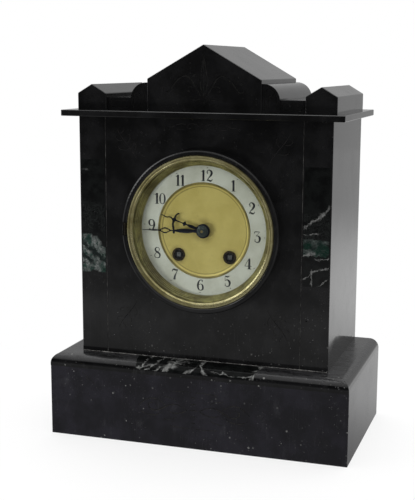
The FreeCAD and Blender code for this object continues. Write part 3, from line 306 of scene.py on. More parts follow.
def slate(name, low, high, dust_colour, foot, dusty, shelf=None):
    """Waxed black slate: cloudy polish, fine scratches, and dust and lime specks, thickest at the foot.
    The shelf gives the clean height, the dusty height and the share of dust on the top of a ledge."""
    finish, tree, shader, place = start_finish(name, IOR=1.42)
    body = tint(tree, spread(tree, cloud(tree, place, 38, 6.0, 0.62), 0.38, 0.66), low, high)
    height = add_node(tree, "SeparateXYZ", {0: place}).outputs["Z"]
    lower = spread(tree, height, foot, 0.0, 0.06, 1.0)
    patch = spread(tree, cloud(tree, place, 30, 4.0), 0.42, 0.58)
    speck = maths(tree, "MULTIPLY", maths(tree, "MULTIPLY", specks(tree, place), patch), lower)
    grains = spread(tree, cloud(tree, place, 900, 2.0), 0.62, 0.72)
    smear = spread(tree, cloud(tree, stretched(tree, place, (1, 1, 0.5)), 75, 6.0, 0.72, 0.4), 0.55, 0.74)
    haze = maths(tree, "MULTIPLY", maths(tree, "MULTIPLY", smear, lower), dusty)
    handled = spread(tree, height, 0.1, 0.26, 0.13, 0.03)
    haze = maths(tree, "ADD", haze, maths(tree, "MULTIPLY", maths(tree, "MULTIPLY", grains, patch), handled))
    marks = scratches(tree, place, ((0, 0.5, 0), (0, -0.9, 0.4), (1.2, 0.3, 0)), 0.70)
    haze = maths(tree, "ADD", haze, maths(tree, "MULTIPLY", marks, handled))
    if shelf is not None:
        haze = maths(tree, "ADD", haze, ledge_dust(tree, place, height, *shelf))
    colour = tint(tree, haze, body, dust_colour)
    colour = tint(tree, maths(tree, "MULTIPLY", speck, 0.9), colour, (0.34, 0.34, 0.325, 1))
    tree.links.new(colour, shader.inputs["Base Color"])
    gloss = spread(tree, cloud(tree, place, 30, 4.0), 0.3, 0.7, 0.07, 0.17)
    gloss = maths(tree, "ADD", gloss, maths(tree, "MULTIPLY", haze, 0.6))
    gloss = maths(tree, "ADD", gloss, maths(tree, "MULTIPLY", speck, 0.5))
    tree.links.new(gloss, shader.inputs["Roughness"])
    uneven = maths(tree, "MULTIPLY", cloud(tree, place, 22, 2.0), 0.15)
    uneven = maths(tree, "ADD", uneven, maths(tree, "MULTIPLY", marks, -0.02))
    uneven = maths(tree, "ADD", uneven, maths(tree, "MULTIPLY", speck, 0.1))
    relief(tree, shader, uneven, 0.12, 0.6 * mm)
    return finish


def rubbed_trace(name, low, high):
    """The dull floor of an incised line or a chip, paler where old polish has lodged."""
    finish, tree, shader, place = start_finish(name, Roughness=0.8, Specular_IOR_Level=0.12)
    body = tint(tree, spread(tree, cloud(tree, place, 260, 5.0, 0.7), 0.35, 0.65), low, high)
    tree.links.new(body, shader.inputs["Base Color"])
    relief(tree, shader, cloud(tree, place, 1500, 3.0), 0.5, 0.1 * mm)
    return finish


incised_grey = rubbed_trace("incised_grey", (0.009, 0.009, 0.010, 1), (0.024, 0.023, 0.0215, 1))
plinth_slate = slate("plinth_slate", (0.0048, 0.0045, 0.0066, 1), (0.0115, 0.0108, 0.0157, 1),
                     (0.085, 0.085, 0.090, 1), foot=0.14, dusty=0.2)
fresh_chip = rubbed_trace("fresh_chip", (0.025, 0.025, 0.027, 1), (0.15, 0.15, 0.15, 1))


def settle(piece, body):
    """Fasten a new piece to its body. A CAD node already has its own."""
    if piece.name not in frame["nodes"]:
        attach(piece, body)


def dress(piece, finish, body="root"):
    """Give a finished piece its finish, and fasten it to the body that it moves with."""
    piece.data.materials.clear()
    piece.data.materials.append(finish)
    settle(piece, body)


def only(piece):
    """Make one object the selected and active one."""
    bpy.ops.object.select_all(action="DESELECT")
    piece.select_set(True)
    bpy.context.view_layer.objects.active = piece


weld_reach = 0.002 * mm


def copy_of(node, name, finish):
    """A merged copy of a CAD solid, to be worked further."""
    piece = bpy.data.objects.new(name, frame["nodes"][node].data.copy())
    scene.collection.objects.link(piece)
    only(piece)
    bpy.ops.object.mode_set(mode="EDIT")
    bpy.ops.mesh.select_all(action="SELECT")
    bpy.ops.mesh.remove_doubles(threshold=weld_reach)
    bpy.ops.object.mode_set(mode="OBJECT")
    bpy.ops.mesh.customdata_custom_splitnormals_clear()
    bpy.ops.object.shade_flat()
    piece.data.materials.clear()
    piece.data.materials.append(finish)
    return piece


def cut_away(piece, cutter):
    """Cut one closed form out of another. The cut faces keep the cutter's finish."""
    cut = piece.modifiers.new("cut", "BOOLEAN")
    cut.operation = "DIFFERENCE"
    cut.solver = "EXACT"
    cut.material_mode = "TRANSFER"
    cut.use_self = True
    cut.object = cutter
    only(piece)
    bpy.ops.object.modifier_apply(modifier=cut.name)
    bpy.data.objects.remove(cutter)


def thread(name, radius, roundness):
    """An empty path whose lines become round threads with closed ends."""
    path = bpy.data.curves.new(name, "CURVE")
    path.dimensions = "3D"
    path.bevel_depth = radius
    path.bevel_resolution = roundness
    path.use_fill_caps = True
    return path


def pen_line(path, points, order):
    """A smooth line on a path, drawn through (x, y, z, radius) points."""
    line = path.splines.new("NURBS")
    line.points.add(len(points) - 1)
    for spot, (x, y, z, radius) in zip(line.points, points):
        spot.co = (x, y, z, 1)
        spot.radius = radius
    line.use_endpoint_u = True
    line.order_u = min(order, len(points))


def solid_of(path):
    """The mesh piece that a path stands for."""
    form = bpy.data.objects.new(path.name, path)
    scene.collection.objects.link(form)
    only(form)
    bpy.ops.object.convert(target="MESH")
    return bpy.context.active_object


def graver(strokes, face_y, finish, depth_share=1.0):
    """One closed tube for each incised stroke: (points in x and z, width), all in millimetres."""
    path = thread("graver", radius=1.0, roundness=1)
    path.resolution_u = 5
    for points, width in strokes:
        last = len(points) - 1
        drawn = []
        for k, (x, z) in enumerate(points):
            swell = 0.45 + 0.55 * math.sin(math.pi * min(1.0, (k + 0.35) / (last + 0.7)))
            drawn.append((x * mm, face_y, z * mm, width / 2 * swell * mm))
        pen_line(path, drawn, order=4)
    form = solid_of(path)
    for vertex in form.data.vertices:
        vertex.co.y = face_y + depth_share * (vertex.co.y - face_y)
    form.data.materials.append(finish)
    return form


def both_sides(strokes):
    """Strokes drawn for the right side, and their mirror images."""
    return strokes + [([(-x, z) for x, z in points], width) for points, width in strokes]


def dot(x, z, width):
    """A punched dot: a stroke hardly longer than it is wide."""
    return ([(x, z - width / 4), (x, z), (x, z + width / 4)], width)


def chipper(places, finish, seed):
    """Small broken flakes: uneven stones sunk in an edge, at (x, y, z, size) in millimetres."""
    draw = random.Random(seed)
    stones = []
    for x, y, z, size in places:
        bpy.ops.mesh.primitive_ico_sphere_add(subdivisions=2, radius=size / 2 * mm,
                                              location=(x * mm, y * mm, z * mm))
        stone = bpy.context.active_object
        for vertex in stone.data.vertices:
            vertex.co *= draw.uniform(0.72, 1.12)
        stone.scale = (draw.uniform(0.6, 1.5), draw.uniform(0.45, 0.9), draw.uniform(0.6, 1.3))
        bpy.ops.object.transform_apply(location=True, rotation=True, scale=True)
        stones.append(stone)
    only(stones[0])
    for stone in stones:
        stone.select_set(True)
    bpy.ops.object.join()
    joined = bpy.context.active_object
    joined.name = "chips"
    joined.data.materials.append(finish)
    return joined


low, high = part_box("plinth_front")
cartouche = both_sides([
    ([(2, 47), (10, 47.6), (20, 46.4)], 0.9), ([(2, 17), (10, 16.4), (20, 17.6)], 0.9),
    ([(5, 32), (12, 36.5), (20, 36), (26, 31.5), (33, 28.5), (39, 31), (38.5, 35.5), (34.5, 35.6)], 1.2),
    ([(5, 32), (12, 27.5), (18, 27.6), (21.6, 30)], 1.1),
    ([(24, 34.5), (30, 39.5), (37, 40), (43, 36.5), (47, 32)], 1.0),
    ([(27, 28.5), (32, 24), (39, 24), (45, 27.6)], 1.0),
    ([(14, 38.5), (19, 42), (25, 41.2)], 0.9), ([(14, 25.5), (19, 22), (25, 22.6)], 0.9),
    dot(31, 33.6, 1.3),
])
for width, up in ((3.2, 42.5), (4.6, 37.2), (6.4, 32), (4.6, 26.8), (3.2, 21.5)):
    cartouche += [([(-width / 2, up), (0, up + 0.5), (width / 2, up)], 1.3)]
cartouche += [([(-96.7, 55), (-91, 50.2), (-85.2, 45.9)], 0.8), ([(-94.5, 51), (-91, 48.6)], 0.5)]
right = high.x / mm
face = low.y / mm
carved_plinth = copy_of("plinth_front", "carved_plinth_front", plinth_slate)
cut_away(carved_plinth, graver(cartouche, low.y, incised_grey, depth_share=0.45))
draw = random.Random(11)
corner_chips = [(right - draw.uniform(-0.1, 0.7), face + draw.uniform(-0.1, 0.7), z, draw.uniform(0.8, 2.6))
                for z in (4, 9.5, 17, 28, 33, 41, 47, 52)]
face_chips = [(draw.uniform(-60, 118), face + 0.15, draw.uniform(2.5, 30) * draw.uniform(0.4, 1),
               draw.uniform(0.5, 1.2)) for k in range(26)]
face_chips += [(right - 1.2 - abs(draw.gauss(0, 9)), face + 0.12, 58 - abs(draw.gauss(0, 13)),
                draw.uniform(0.45, 1.1)) for k in range(44)]
foot_chips = [(x + draw.uniform(-4, 4), face, 0.3, draw.uniform(0.8, 2.0))
              for x in (-118, -83, -52, -20, 24, 47, 66, 92, 110)]
cut_away(carved_plinth, chipper(corner_chips + face_chips + foot_chips, fresh_chip, seed=5))
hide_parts("plinth_front")
settle(carved_plinth, "root")
for node in ("plinth_side_left", "plinth_side_right"):
    dress(frame["nodes"][node], plinth_slate)

# Plinth top: one slab with its front and side edges rounded by the mason. It carries the body and a
# strip of veined marble let into its front edge. The front right corner has lost several flakes.


def smooth_rounds(piece):
    """Soften the facets of rounded edges, while the flats stay flat."""
    only(piece)
    bpy.ops.object.shade_smooth_by_angle(angle=math.radians(20))
    even = piece.modifiers.new("even", "WEIGHTED_NORMAL")
    even.keep_sharp = True
    even.weight = 100
    bpy.ops.object.modifier_apply(modifier=even.name)


low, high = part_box("plinth_top")
plinth_round = 8.0
right = high.x / mm
face = low.y / mm
top = high.z / mm
dusty_slate = slate("dusty_slate", (0.0019, 0.0019, 0.0021, 1), (0.0052, 0.0052, 0.0056, 1),
                    (0.075, 0.075, 0.078, 1), foot=0.2, dusty=0.24,
                    shelf=(top * mm - 5 * mm, top * mm - 0.5 * mm, 0.36))
plinth_slab = copy_of("plinth_top", "chipped_plinth_top", dusty_slate)
draw = random.Random(23)
flakes = []
for k in range(16):
    x = right - plinth_round * 0.3 - abs(draw.gauss(0, 16))
    bend = draw.uniform(0.15, 1.25)
    flakes.append((x, face + plinth_round * (1 - math.cos(bend)), top - plinth_round * (1 - math.sin(bend)),
                   draw.uniform(0.6, 1.9)))
for k in range(7):
    flakes.append((right - 0.2, draw.uniform(-58, 52), top - plinth_round - draw.uniform(0.5, 1.6),
                   draw.uniform(0.7, 1.6)))
flakes += [(-104, face + 2.6, top - 2.9, 1.5), (-71, face + 1.2, top - 5.2, 1.1),
           (-88, face + 0.3, top - 8, 1.2)]
cut_away(plinth_slab, chipper(flakes, fresh_chip, seed=29))
smooth_rounds(plinth_slab)
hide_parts("plinth_top")
settle(plinth_slab, "root")

# Marble: dark green stone with white veins, sawn thin and let in flush. One strip lies in the plinth's
# front edge and one tall panel in each pilaster.


def vein(tree, place, start, end, width, soft):
    """Share of one vein: near the sheet through two points of the front, and between them."""
    run = Vector((end[0] - start[0], 0, end[1] - start[1]))
    length = run.length
    along = run / length
    aside = Vector((-along.z, 0, along.x))
    origin = Vector((start[0], 0, start[1])) * mm
    local = vectors(tree, "SUBTRACT", place, tuple(origin))
    off = vectors(tree, "DOT_PRODUCT", local, tuple(aside))
    far = vectors(tree, "DOT_PRODUCT", local, tuple(along))
    swell = spread(tree, cloud(tree, place, 190, 4.0), 0.3, 0.7, 0.35, 2.1)
    off = maths(tree, "DIVIDE", maths(tree, "ABSOLUTE", off), swell)
    near = spread(tree, off, width * mm, (width + soft) * mm, 1.0, 0.0)
    begins = spread(tree, far, -0.15 * length * mm, 0.2 * length * mm)
    ends = spread(tree, far, 0.8 * length * mm, 1.15 * length * mm, 1.0, 0.0)
    return maths(tree, "MULTIPLY", near, maths(tree, "MULTIPLY", begins, ends))


def cloud_patch(tree, place, centre, reach, soft=0.35):
    """Share of one oval cloud in the stone."""
    local = vectors(tree, "SUBTRACT", place, (centre[0] * mm, 0, centre[1] * mm))
    local = vectors(tree, "MULTIPLY", local, (1 / (reach[0] * mm), 0, 1 / (reach[1] * mm)))
    return spread(tree, vectors(tree, "LENGTH", local), 1.0 - soft, 1.0 + soft, 1.0, 0.0)


def ridge(tree, place, scale, width, detail=4.0, distortion=0.6):
    """Thin winding lines, where a noise passes through its middle value."""
    value = cloud(tree, place, scale, detail, 0.6, distortion)
    return spread(tree, maths(tree, "ABSOLUTE", maths(tree, "SUBTRACT", value, 0.5)), 0.0, width, 1.0, 0.0)


def fine_net(tree, place, bent, netted):
    """Share of the fine pale lines. They are dense between the netted heights and sparse elsewhere."""
    height = add_node(tree, "SeparateXYZ", {0: place}).outputs["Z"]
    middle = (netted[0] + netted[1]) / 2 * mm
    reach = (netted[1] - netted[0]) / 2 * mm
    off_middle = maths(tree, "ABSOLUTE", maths(tree, "SUBTRACT", height, middle))
    dense = spread(tree, off_middle, reach * 0.5, reach * 1.2, 1.0, 0.14)
    net = maths(tree, "MAXIMUM", ridge(tree, place, 260, 0.05, 3.0, 1.0), ridge(tree, bent, 120, 0.02))
    return maths(tree, "MULTIPLY", net, dense)


def milky(tree, bent, low, high):
    """Milky green stone, mottled, with dark winding lines."""
    dark = ridge(tree, bent, 210, 0.07, 5.0, 1.2)
    mottle = spread(tree, cloud(tree, bent, 200, 5.0, 0.7), 0.40, 0.60)
    milk = tint(tree, mottle, low, high)
    return tint(tree, maths(tree, "MULTIPLY", dark, 0.8), milk, (0.007, 0.010, 0.0095, 1))


def marble(name, veins, patches, streaks, netted, milk_low, milk_high, green_spots, pale):
    """Black stone with chosen veins and clouds, bent by noise. A vein or streak has its two ends, in x
    and z, and its width. A patch or spot has its middle and its reach. All in millimetres."""
    finish, tree, shader, place = start_finish(name, Roughness=0.12, IOR=1.45)
    wander = add_node(tree, "TexNoise", {"Vector": place, "Scale": 95.0, "Detail": 6.0, "Roughness": 0.68})
    drift = vectors(tree, "SUBTRACT", wander.outputs["Color"], (0.5, 0.5, 0.5))
    drift = add_node(tree, "VectorMath", {0: drift, 3: 9.0 * mm}, operation="SCALE").outputs[0]
    bent = vectors(tree, "ADD", place, drift)
    colour = tint(tree, spread(tree, cloud(tree, place, 120, 5.0), 0.4, 0.65),
                  (0.0026, 0.0028, 0.0028, 1), (0.0058, 0.0065, 0.0063, 1))
    colour = tint(tree, fine_net(tree, place, bent, netted), colour, (0.012, 0.0135, 0.013, 1))
    milk = milky(tree, bent, milk_low, milk_high)
    for centre, reach in patches:
        colour = tint(tree, cloud_patch(tree, bent, centre, reach, 0.16), colour, milk)
    for centre, reach in green_spots:
        speckle = spread(tree, cloud(tree, place, 520, 3.0), 0.4, 0.6, 0.45, 1.0)
        share = maths(tree, "MULTIPLY", cloud_patch(tree, bent, centre, reach), speckle)
        colour = tint(tree, share, colour, (0.002, 0.016, 0.010, 1))
    for start, end, width in streaks:
        streak = vein(tree, bent, start, end, width * 0.5, width)
        colour = tint(tree, streak, colour, (0.005, 0.009, 0.008, 1))
    for start, end, width in veins:
        share = vein(tree, bent, start, end, width * 0.25, width)
        broken = spread(tree, cloud(tree, place, 330, 5.0), 0.34, 0.62, 0.15, 1.0)
        colour = tint(tree, maths(tree, "MULTIPLY", share, broken), colour, pale)
    tree.links.new(colour, shader.inputs["Base Color"])
    relief(tree, shader, cloud(tree, place, 700, 3.0), 0.05, 0.1 * mm)
    return finish


left_panel = marble(
    "left_marble",
    veins=[((-103, 219), (-97, 220.5), 0.5)],
    patches=[((-101, 162), (6.5, 6)), ((-93, 158), (8, 6)), ((-86, 152), (6, 5.5)), ((-100, 150), (7, 7)),
             ((-92, 142), (9, 5.5)), ((-100, 138), (6, 4)), ((-85, 139), (6, 4))],
    streaks=[((-105, 161), (-84, 146), 1.5), ((-104, 151), (-93, 142), 1.2), ((-90, 150), (-82, 143), 1.4)],
    netted=(166, 196), milk_low=(0.010, 0.030, 0.023, 1), milk_high=(0.150, 0.158, 0.152, 1),
    green_spots=[((-84, 148), (3, 4)), ((-83, 138), (3, 3))], pale=(0.07, 0.07, 0.07, 1))
right_panel = marble(
    "right_marble",
    veins=[((82, 179.5), (103, 197), 0.9), ((93, 188), (98, 193), 1.2), ((82, 158), (92, 161.5), 0.9),
           ((82, 141), (91, 147), 0.5), ((89, 147), (105, 152), 0.5), ((89.5, 148), (90.5, 136), 0.5),
           ((95, 136), (102, 142), 0.4), ((82, 176.5), (96, 177), 0.35), ((92, 157), (104, 159), 0.4)],
    patches=[((90, 170.5), (13, 2.6)), ((85.5, 163.5), (3.4, 5)), ((92, 164), (3.2, 5)), ((97, 165), (7, 5))],
    streaks=[],
    netted=(168, 196), milk_low=(0.0062, 0.0180, 0.0140, 1), milk_high=(0.070, 0.082, 0.077, 1),
    green_spots=[((86.5, 167.5), (3.4, 3)), ((98.5, 164.5), (5.5, 4.6)), ((92.5, 162), (1.8, 2.6))],
    pale=(0.17, 0.172, 0.168, 1))
inlay = marble(
    "plinth_marble",
    veins=[((-28, 59.5), (-17, 69.5), 2.0), ((-17.5, 69), (-1, 71.6), 1.7), ((-2, 70.5), (22, 73), 1.0),
           ((-50, 64), (-36, 66), 0.5), ((-43, 60), (-31, 69), 0.6), ((-49, 60), (-41, 69), 0.5),
           ((-36, 60), (-26, 66), 0.5), ((3, 69.5), (12, 60), 0.9), ((-11, 59), (1, 66), 0.6),
           ((46.6, 59), (54, 70), 2.2), ((36, 63), (50, 66), 0.35), ((14, 66), (33, 63), 0.3)],
    patches=[], streaks=[], netted=(0, 1), milk_low=(0.02, 0.02, 0.02, 1), milk_high=(0.1, 0.1, 0.1, 1),
    green_spots=[], pale=(0.19, 0.193, 0.187, 1))
inlay.node_tree.nodes["Principled BSDF"].inputs["Specular IOR Level"].default_value = 0.08
for node, finish in (("marble_panel_left", left_panel), ("marble_panel_right", right_panel),
                     ("plinth_inlay", inlay)):
    dress(frame["nodes"][node], finish)

# Body: a front slab with a round opening, two polished sides and a back left as it was sawn. Two incised
# joints part the front into a field and two pilasters. Sprays are cut in the four corners round the dial.


def shifted(strokes, across, up, turn=1):
    """Strokes moved to their place. A turn of -1 mirrors them."""
    return [([(across + turn * x, up + z) for x, z in points], width) for points, width in strokes]


polished_slate = slate("polished_slate", (0.0040, 0.0040, 0.0041, 1), (0.0096, 0.0096, 0.0100, 1),
                       (0.075, 0.075, 0.080, 1), foot=0.14, dusty=0.16)
low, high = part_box("body_front")
body_front = copy_of("body_front", "carved_body_front", polished_slate)
spray = [
    ([(-8, -11), (-4, -4), (2, 2), (7, 9), (8, 12)], 0.7),
    ([(-5, -7), (-9, -3), (-8, 2), (-5.5, 1)], 0.6),
    ([(-2, -3.5), (3, -6), (8, -4), (7, -1.5)], 0.6),
    ([(-0.5, 1), (-4, 5), (-3, 9), (-0.8, 7.8)], 0.6),
    ([(4, 3), (9, 2), (11, 5.5), (9, 6.5)], 0.6),
    ([(5, 8.5), (1.5, 11), (2.5, 13.5)], 0.55),
    dot(-10, 0.5, 1.1), dot(9.5, -2.6, 1.0), dot(-3.6, 11, 1.0), dot(11.5, 9.5, 1.0),
]
frieze = both_sides([
    ([(2, 0), (6, 2.6), (11, 2.2), (13, -0.6), (10.5, -2.2), (8.5, -0.8)], 0.7),
    ([(13.5, 1.6), (18, 2.6), (22, 0.4), (26, -1.4), (28.5, 0)], 0.7),
    ([(14.5, -2.4), (18, -2.6), (21, -1.8)], 0.55),
    dot(16.6, 0, 1.1), dot(4.6, -1.8, 1.0),
]) + [dot(0, 0, 1.6), ([(0, 1.8), (0, 3.4)], 0.6), ([(0, -1.8), (0, -3.4)], 0.6)]
frieze_z = 256.2
spray_x = 63
spray_z = 241
field_middle_z = 172
strokes = shifted(frieze, 0, frieze_z)
for side in (1, -1):
    upper_spray = shifted(spray, side * spray_x, spray_z, side)
    strokes += upper_spray
    strokes += [([(x, 2 * field_middle_z - z) for x, z in points], width) for points, width in upper_spray]
cut_away(body_front, graver(strokes, low.y, incised_grey))
draw = random.Random(31)
face = low.y / mm
right = high.x / mm
nicks = [(draw.uniform(-78, 100), face + 0.1, 70 + abs(draw.gauss(0, 18)), draw.uniform(0.5, 1.2))
         for k in range(34)]
nicks += [(draw.uniform(84, 102), face + 0.1, draw.uniform(72, 118), draw.uniform(0.5, 1.5))
          for k in range(18)]
nicks += [(side * right, face, z, draw.uniform(0.7, 1.6))
          for side in (-1, 1) for z in (74, 88, 121, 199, 238, 251)]
cut_away(body_front, chipper(nicks, fresh_chip, seed=37))
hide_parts("body_front")
settle(body_front, "root")
for node in ("body_side_left", "body_side_right"):
    dress(frame["nodes"][node], polished_slate)

# Back slabs: the body's back and the plinth's back, left as they came from the saw. Only their ends,
# which show at the sides, are polished.


def sawn_slate():
    """Slate left as the saw and the rubbing bed left it, grey and dull. Its ends are polished."""
    finish, tree, shader, place = start_finish("sawn_slate", IOR=1.45)
    side = maths(tree, "ABSOLUTE", add_node(tree, "SeparateXYZ", {0: place}).outputs["X"])
    end = spread(tree, side, plinth_half - 0.3 * mm, plinth_half - 0.1 * mm)
    patches = spread(tree, cloud(tree, place, 30, 6.0, 0.65), 0.35, 0.65)
    body = tint(tree, patches, (0.018, 0.018, 0.02, 1), (0.05, 0.05, 0.056, 1))
    saw = cloud(tree, stretched(tree, place, (20, 20, 900), (0, 0.12, 0)), 1.0, 3.0)
    sawn = maths(tree, "MULTIPLY", spread(tree, saw, 0.5, 0.75), 0.35)
    body = tint(tree, sawn, body, (0.10, 0.10, 0.105, 1))
    drips = spread(tree, cloud(tree, stretched(tree, place, (60, 60, 9)), 1.0, 4.0), 0.62, 0.7)
    body = tint(tree, maths(tree, "MULTIPLY", drips, 0.3), body, (0.14, 0.13, 0.115, 1))
    body = tint(tree, end, body, (0.006, 0.006, 0.0075, 1))
    tree.links.new(body, shader.inputs["Base Color"])
    tree.links.new(spread(tree, end, 0.0, 1.0, 0.62, 0.13), shader.inputs["Roughness"])
    rough = maths(tree, "ADD", saw, maths(tree, "MULTIPLY", cloud(tree, place, 420, 4.0), 0.5))
    rough = maths(tree, "MULTIPLY", rough, spread(tree, end, 0.0, 1.0, 1.0, 0.03))
    relief(tree, shader, rough, 0.55, 0.35 * mm)
    return finish


plinth_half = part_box("plinth_back")[1].x
back_slate = sawn_slate()
for node in ("body_back", "plinth_back"):
    dress(frame["nodes"][node], back_slate)

# Putty: grey filler pressed into the pilaster joints and along the body's foot, rubbed down uneven and
# now dry and chalky. The bead along the foot is coloured pale as a painted highlight of the joint's light
# line.


def chalky(name, low, high):
    """Dry filler with no gloss."""
    finish, tree, shader, place = start_finish(name, Roughness=0.85)
    body = tint(tree, spread(tree, cloud(tree, place, 170, 6.0, 0.7), 0.38, 0.62), low, high)
    tree.links.new(body, shader.inputs["Base Color"])
    relief(tree, shader, cloud(tree, place, 1600, 4.0), 0.6, 0.1 * mm)
    return finish


putty = chalky("old_putty", (0.006, 0.006, 0.0065, 1), (0.060, 0.058, 0.054, 1))
# The foot bead is real filler, but its pale colour is a painted highlight along the joint at the body's foot.
foot_putty_painted_highlight = chalky("putty_painted_highlight", (0.025, 0.025, 0.025, 1), (0.20, 0.195, 0.185, 1))


def bead(name, corners, radius, wander, seed, steps, finish):
    """A thin uneven bead of putty from point to point, in millimetres."""
    draw = random.Random(seed)
    path = thread(name, radius=radius * mm, roundness=1)
    for start, end in zip(corners, corners[1:]):
        line = path.splines.new("POLY")
        line.points.add(steps)
        for k in range(steps + 1):
            spot = Vector(start).lerp(Vector(end), k / steps)
            line.points[k].co = (*(spot * mm), 1)
            line.points[k].radius = 1 + draw.uniform(-wander, wander)
    form = solid_of(path)
    bpy.ops.object.shade_smooth()
    dress(form, finish)


low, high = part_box("marble_panel_right")
joint_x = low.x / mm - 1.2
low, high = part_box("body_front")
face = low.y / mm
foot_z = low.z / mm
for side, name in ((-1, "joint_putty_left"), (1, "joint_putty_right")):
    joint_ends = [(side * joint_x, face + 0.28, z) for z in (foot_z + 0.2, high.z / mm - 0.2)]
    bead(name, joint_ends, radius=0.26, wander=0.35, seed=41 + side, steps=90, finish=putty)
foot_ends = [(x, face - 0.05, foot_z + 0.1) for x in (low.x / mm + 0.6, high.x / mm - 0.6)]
bead("foot_putty_painted_highlight", foot_ends, radius=0.34, wander=0.5, seed=47, steps=160, finish=foot_putty_painted_highlight)

# Cornice and roof: a thin projecting slab, two gabled corner blocks, two scrolled shoulders with a low
# link, and a gabled pediment in the middle with a palmette between two scrolls cut in its face.

for node in ("cornice", "corner_block_left", "corner_block_right"):
    dress(frame["nodes"][node], polished_slate)
incised_faint = rubbed_trace("incised_faint", (0.003, 0.003, 0.0033, 1), (0.0088, 0.0085, 0.0080, 1))
low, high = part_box("pediment")
palmette = both_sides([
    ([(0.6, 281), (3.0, 286.5), (2.8, 294), (1.4, 302), (0.7, 309)], 1.5),
    ([(2.4, 280), (6.2, 285), (9.0, 291.5), (14.0, 296.3), (20.0, 294.2), (24.6, 288.6), (27.4, 284.2)], 1.7),
    ([(27.4, 284.2), (30, 281.4), (33.4, 282.8), (32.6, 285.8)], 1.1),
    ([(6.6, 285.6), (9.4, 288.0), (12.6, 287.2), (13.4, 285.6)], 1.0),
    ([(3.0, 277.6), (6.4, 276.2), (9.6, 277.0)], 1.0),
    dot(12.6, 283.6, 3.0),
]) + [([(0, 311), (0, 303), (0, 292), (0, 280)], 1.5), dot(0, 275.0, 2.8)]
carved_pediment = copy_of("pediment", "carved_pediment", polished_slate)
cut_away(carved_pediment, graver(palmette, low.y, incised_faint, depth_share=0.35))
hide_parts("pediment")
settle(carved_pediment, "root")
for side, node in ((-1, "shoulder_left"), (1, "shoulder_right")):
    low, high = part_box(node)
    inner = min(abs(low.x), abs(high.x)) / mm
    outer = max(abs(low.x), abs(high.x)) / mm
    base = low.z / mm
    top = high.z / mm
    middle_x = inner + 5.2
    volute = [([(inner + 2.2, base + 2), (inner + 2.2, top - 8), (inner + 4.0, top - 3.4),
                (inner + 8.4, top - 3.6), (inner + 11.6, top - 7.4), (inner + 12.0, base + 6),
                (inner + 12.0, base + 2)], 0.8),
              ([(middle_x - 0.4, base + 3), (middle_x - 0.4, top - 11), (middle_x + 1.4, top - 7.6),
                (middle_x + 3.6, top - 9.6), (middle_x + 2.4, top - 12)], 0.7)]
    link = [([(inner + 17.4, base + 2.4), (outer - 2.4, base + 2.4)], 0.7),
            ([(inner + 17.4, base + 7.8), (outer - 2.4, base + 7.8)], 0.7),
            ([(inner + 16.4, base + 3), (inner + 16.4, base + 7.2)], 0.7),
            ([(outer - 1.4, base + 3), (outer - 1.4, base + 7.2)], 0.7)]
    piece = copy_of(node, "carved_" + node, polished_slate)
    link_front = low.y + 0.9 * mm
    turned = [([(side * x, z) for x, z in points], width) for points, width in volute]
    cut_away(piece, graver(turned, low.y, incised_faint))
    turned = [([(side * x, z) for x, z in points], width) for points, width in link]
    cut_away(piece, graver(turned, link_front, incised_faint))
    smooth_rounds(piece)
    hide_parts(node)
    settle(piece, "root")

# Tie rods: four wrought-iron rods with nuts, blotched with rust, that draw plinth and cornice together
# inside the case.


def rusty(name):
    """Iron that has rusted in blotches."""
    finish, tree, shader, place = start_finish(name, Metallic=0.6)
    blotch = spread(tree, cloud(tree, place, 320, 6.0, 0.7), 0.4, 0.62)
    body = tint(tree, blotch, (0.10, 0.09, 0.085, 1), (0.19, 0.085, 0.04, 1))
    tree.links.new(body, shader.inputs["Base Color"])
    tree.links.new(spread(tree, blotch, 0, 1, 0.45, 0.8), shader.inputs["Roughness"])
    relief(tree, shader, cloud(tree, place, 900, 5.0), 0.5, 0.15 * mm)
    return finish


dress(frame["nodes"]["tie_rods"], rusty("wrought_iron"))

# Movement: grained brass plates, pillars and wheels, polished steel arbors, clicks, levers and screws,
# blued mainsprings in their barrels, and a turned bell. It hangs behind the dial and shows from behind.


def metal(name, low, high, rough, grain, spots):
    """Metal with a fine grain, colour that wanders from bright to tarnished, and small dark spots."""
    finish, tree, shader, place = start_finish(name, Metallic=1.0)
    tarnish = spread(tree, cloud(tree, place, 60, 5.0, 0.6), 0.35, 0.65)
    body = tint(tree, tarnish, high, low)
    pits = spread(tree, cloud(tree, place, 650, 3.0), 0.66, 0.74)
    dull = tuple(channel * 0.25 for channel in low[:3]) + (1,)
    body = tint(tree, maths(tree, "MULTIPLY", pits, spots), body, dull)
    tree.links.new(body, shader.inputs["Base Color"])
    lines = cloud(tree, stretched(tree, place, (30, 900, 900)), 1.0, 3.0)
    gloss = maths(tree, "ADD", spread(tree, tarnish, 0, 1, rough[0], rough[1]),
                  maths(tree, "MULTIPLY", spread(tree, lines, 0.4, 0.7), 0.08))
    tree.links.new(gloss, shader.inputs["Roughness"])
    relief(tree, shader, lines, grain, 0.05 * mm)
    return finish


lacquered_brass = metal("lacquered_brass", (0.50, 0.36, 0.14, 1), (0.72, 0.56, 0.27, 1),
                        rough=(0.24, 0.4), grain=0.25, spots=0.5)
polished_steel = metal("polished_steel", (0.26, 0.26, 0.27, 1), (0.46, 0.46, 0.47, 1),
                       rough=(0.2, 0.4), grain=0.2, spots=0.6)
blued_spring = metal("blued_spring", (0.05, 0.06, 0.12, 1), (0.14, 0.18, 0.32, 1),
                     rough=(0.25, 0.4), grain=0.15, spots=0.3)
bell_bronze = metal("bell_bronze", (0.42, 0.34, 0.2, 1), (0.62, 0.54, 0.36, 1),
                    rough=(0.2, 0.34), grain=0.3, spots=0.4)
by_slot = {"movement_brass": lacquered_brass, "steel": polished_steel, "spring_steel": blued_spring,
           "bell_metal": bell_bronze}
slot_of = {row["node"]: row["material_slot"] for row in frame["record"]["subparts"]}
for node, slot in slot_of.items():
    if slot in by_slot:
        dress(frame["nodes"][node], by_slot[slot])

# Dial: a cream enamel ring, slightly convex, round a dished centre of matt gilt brass. Two dark turned
# brass grommets line the winding holes.


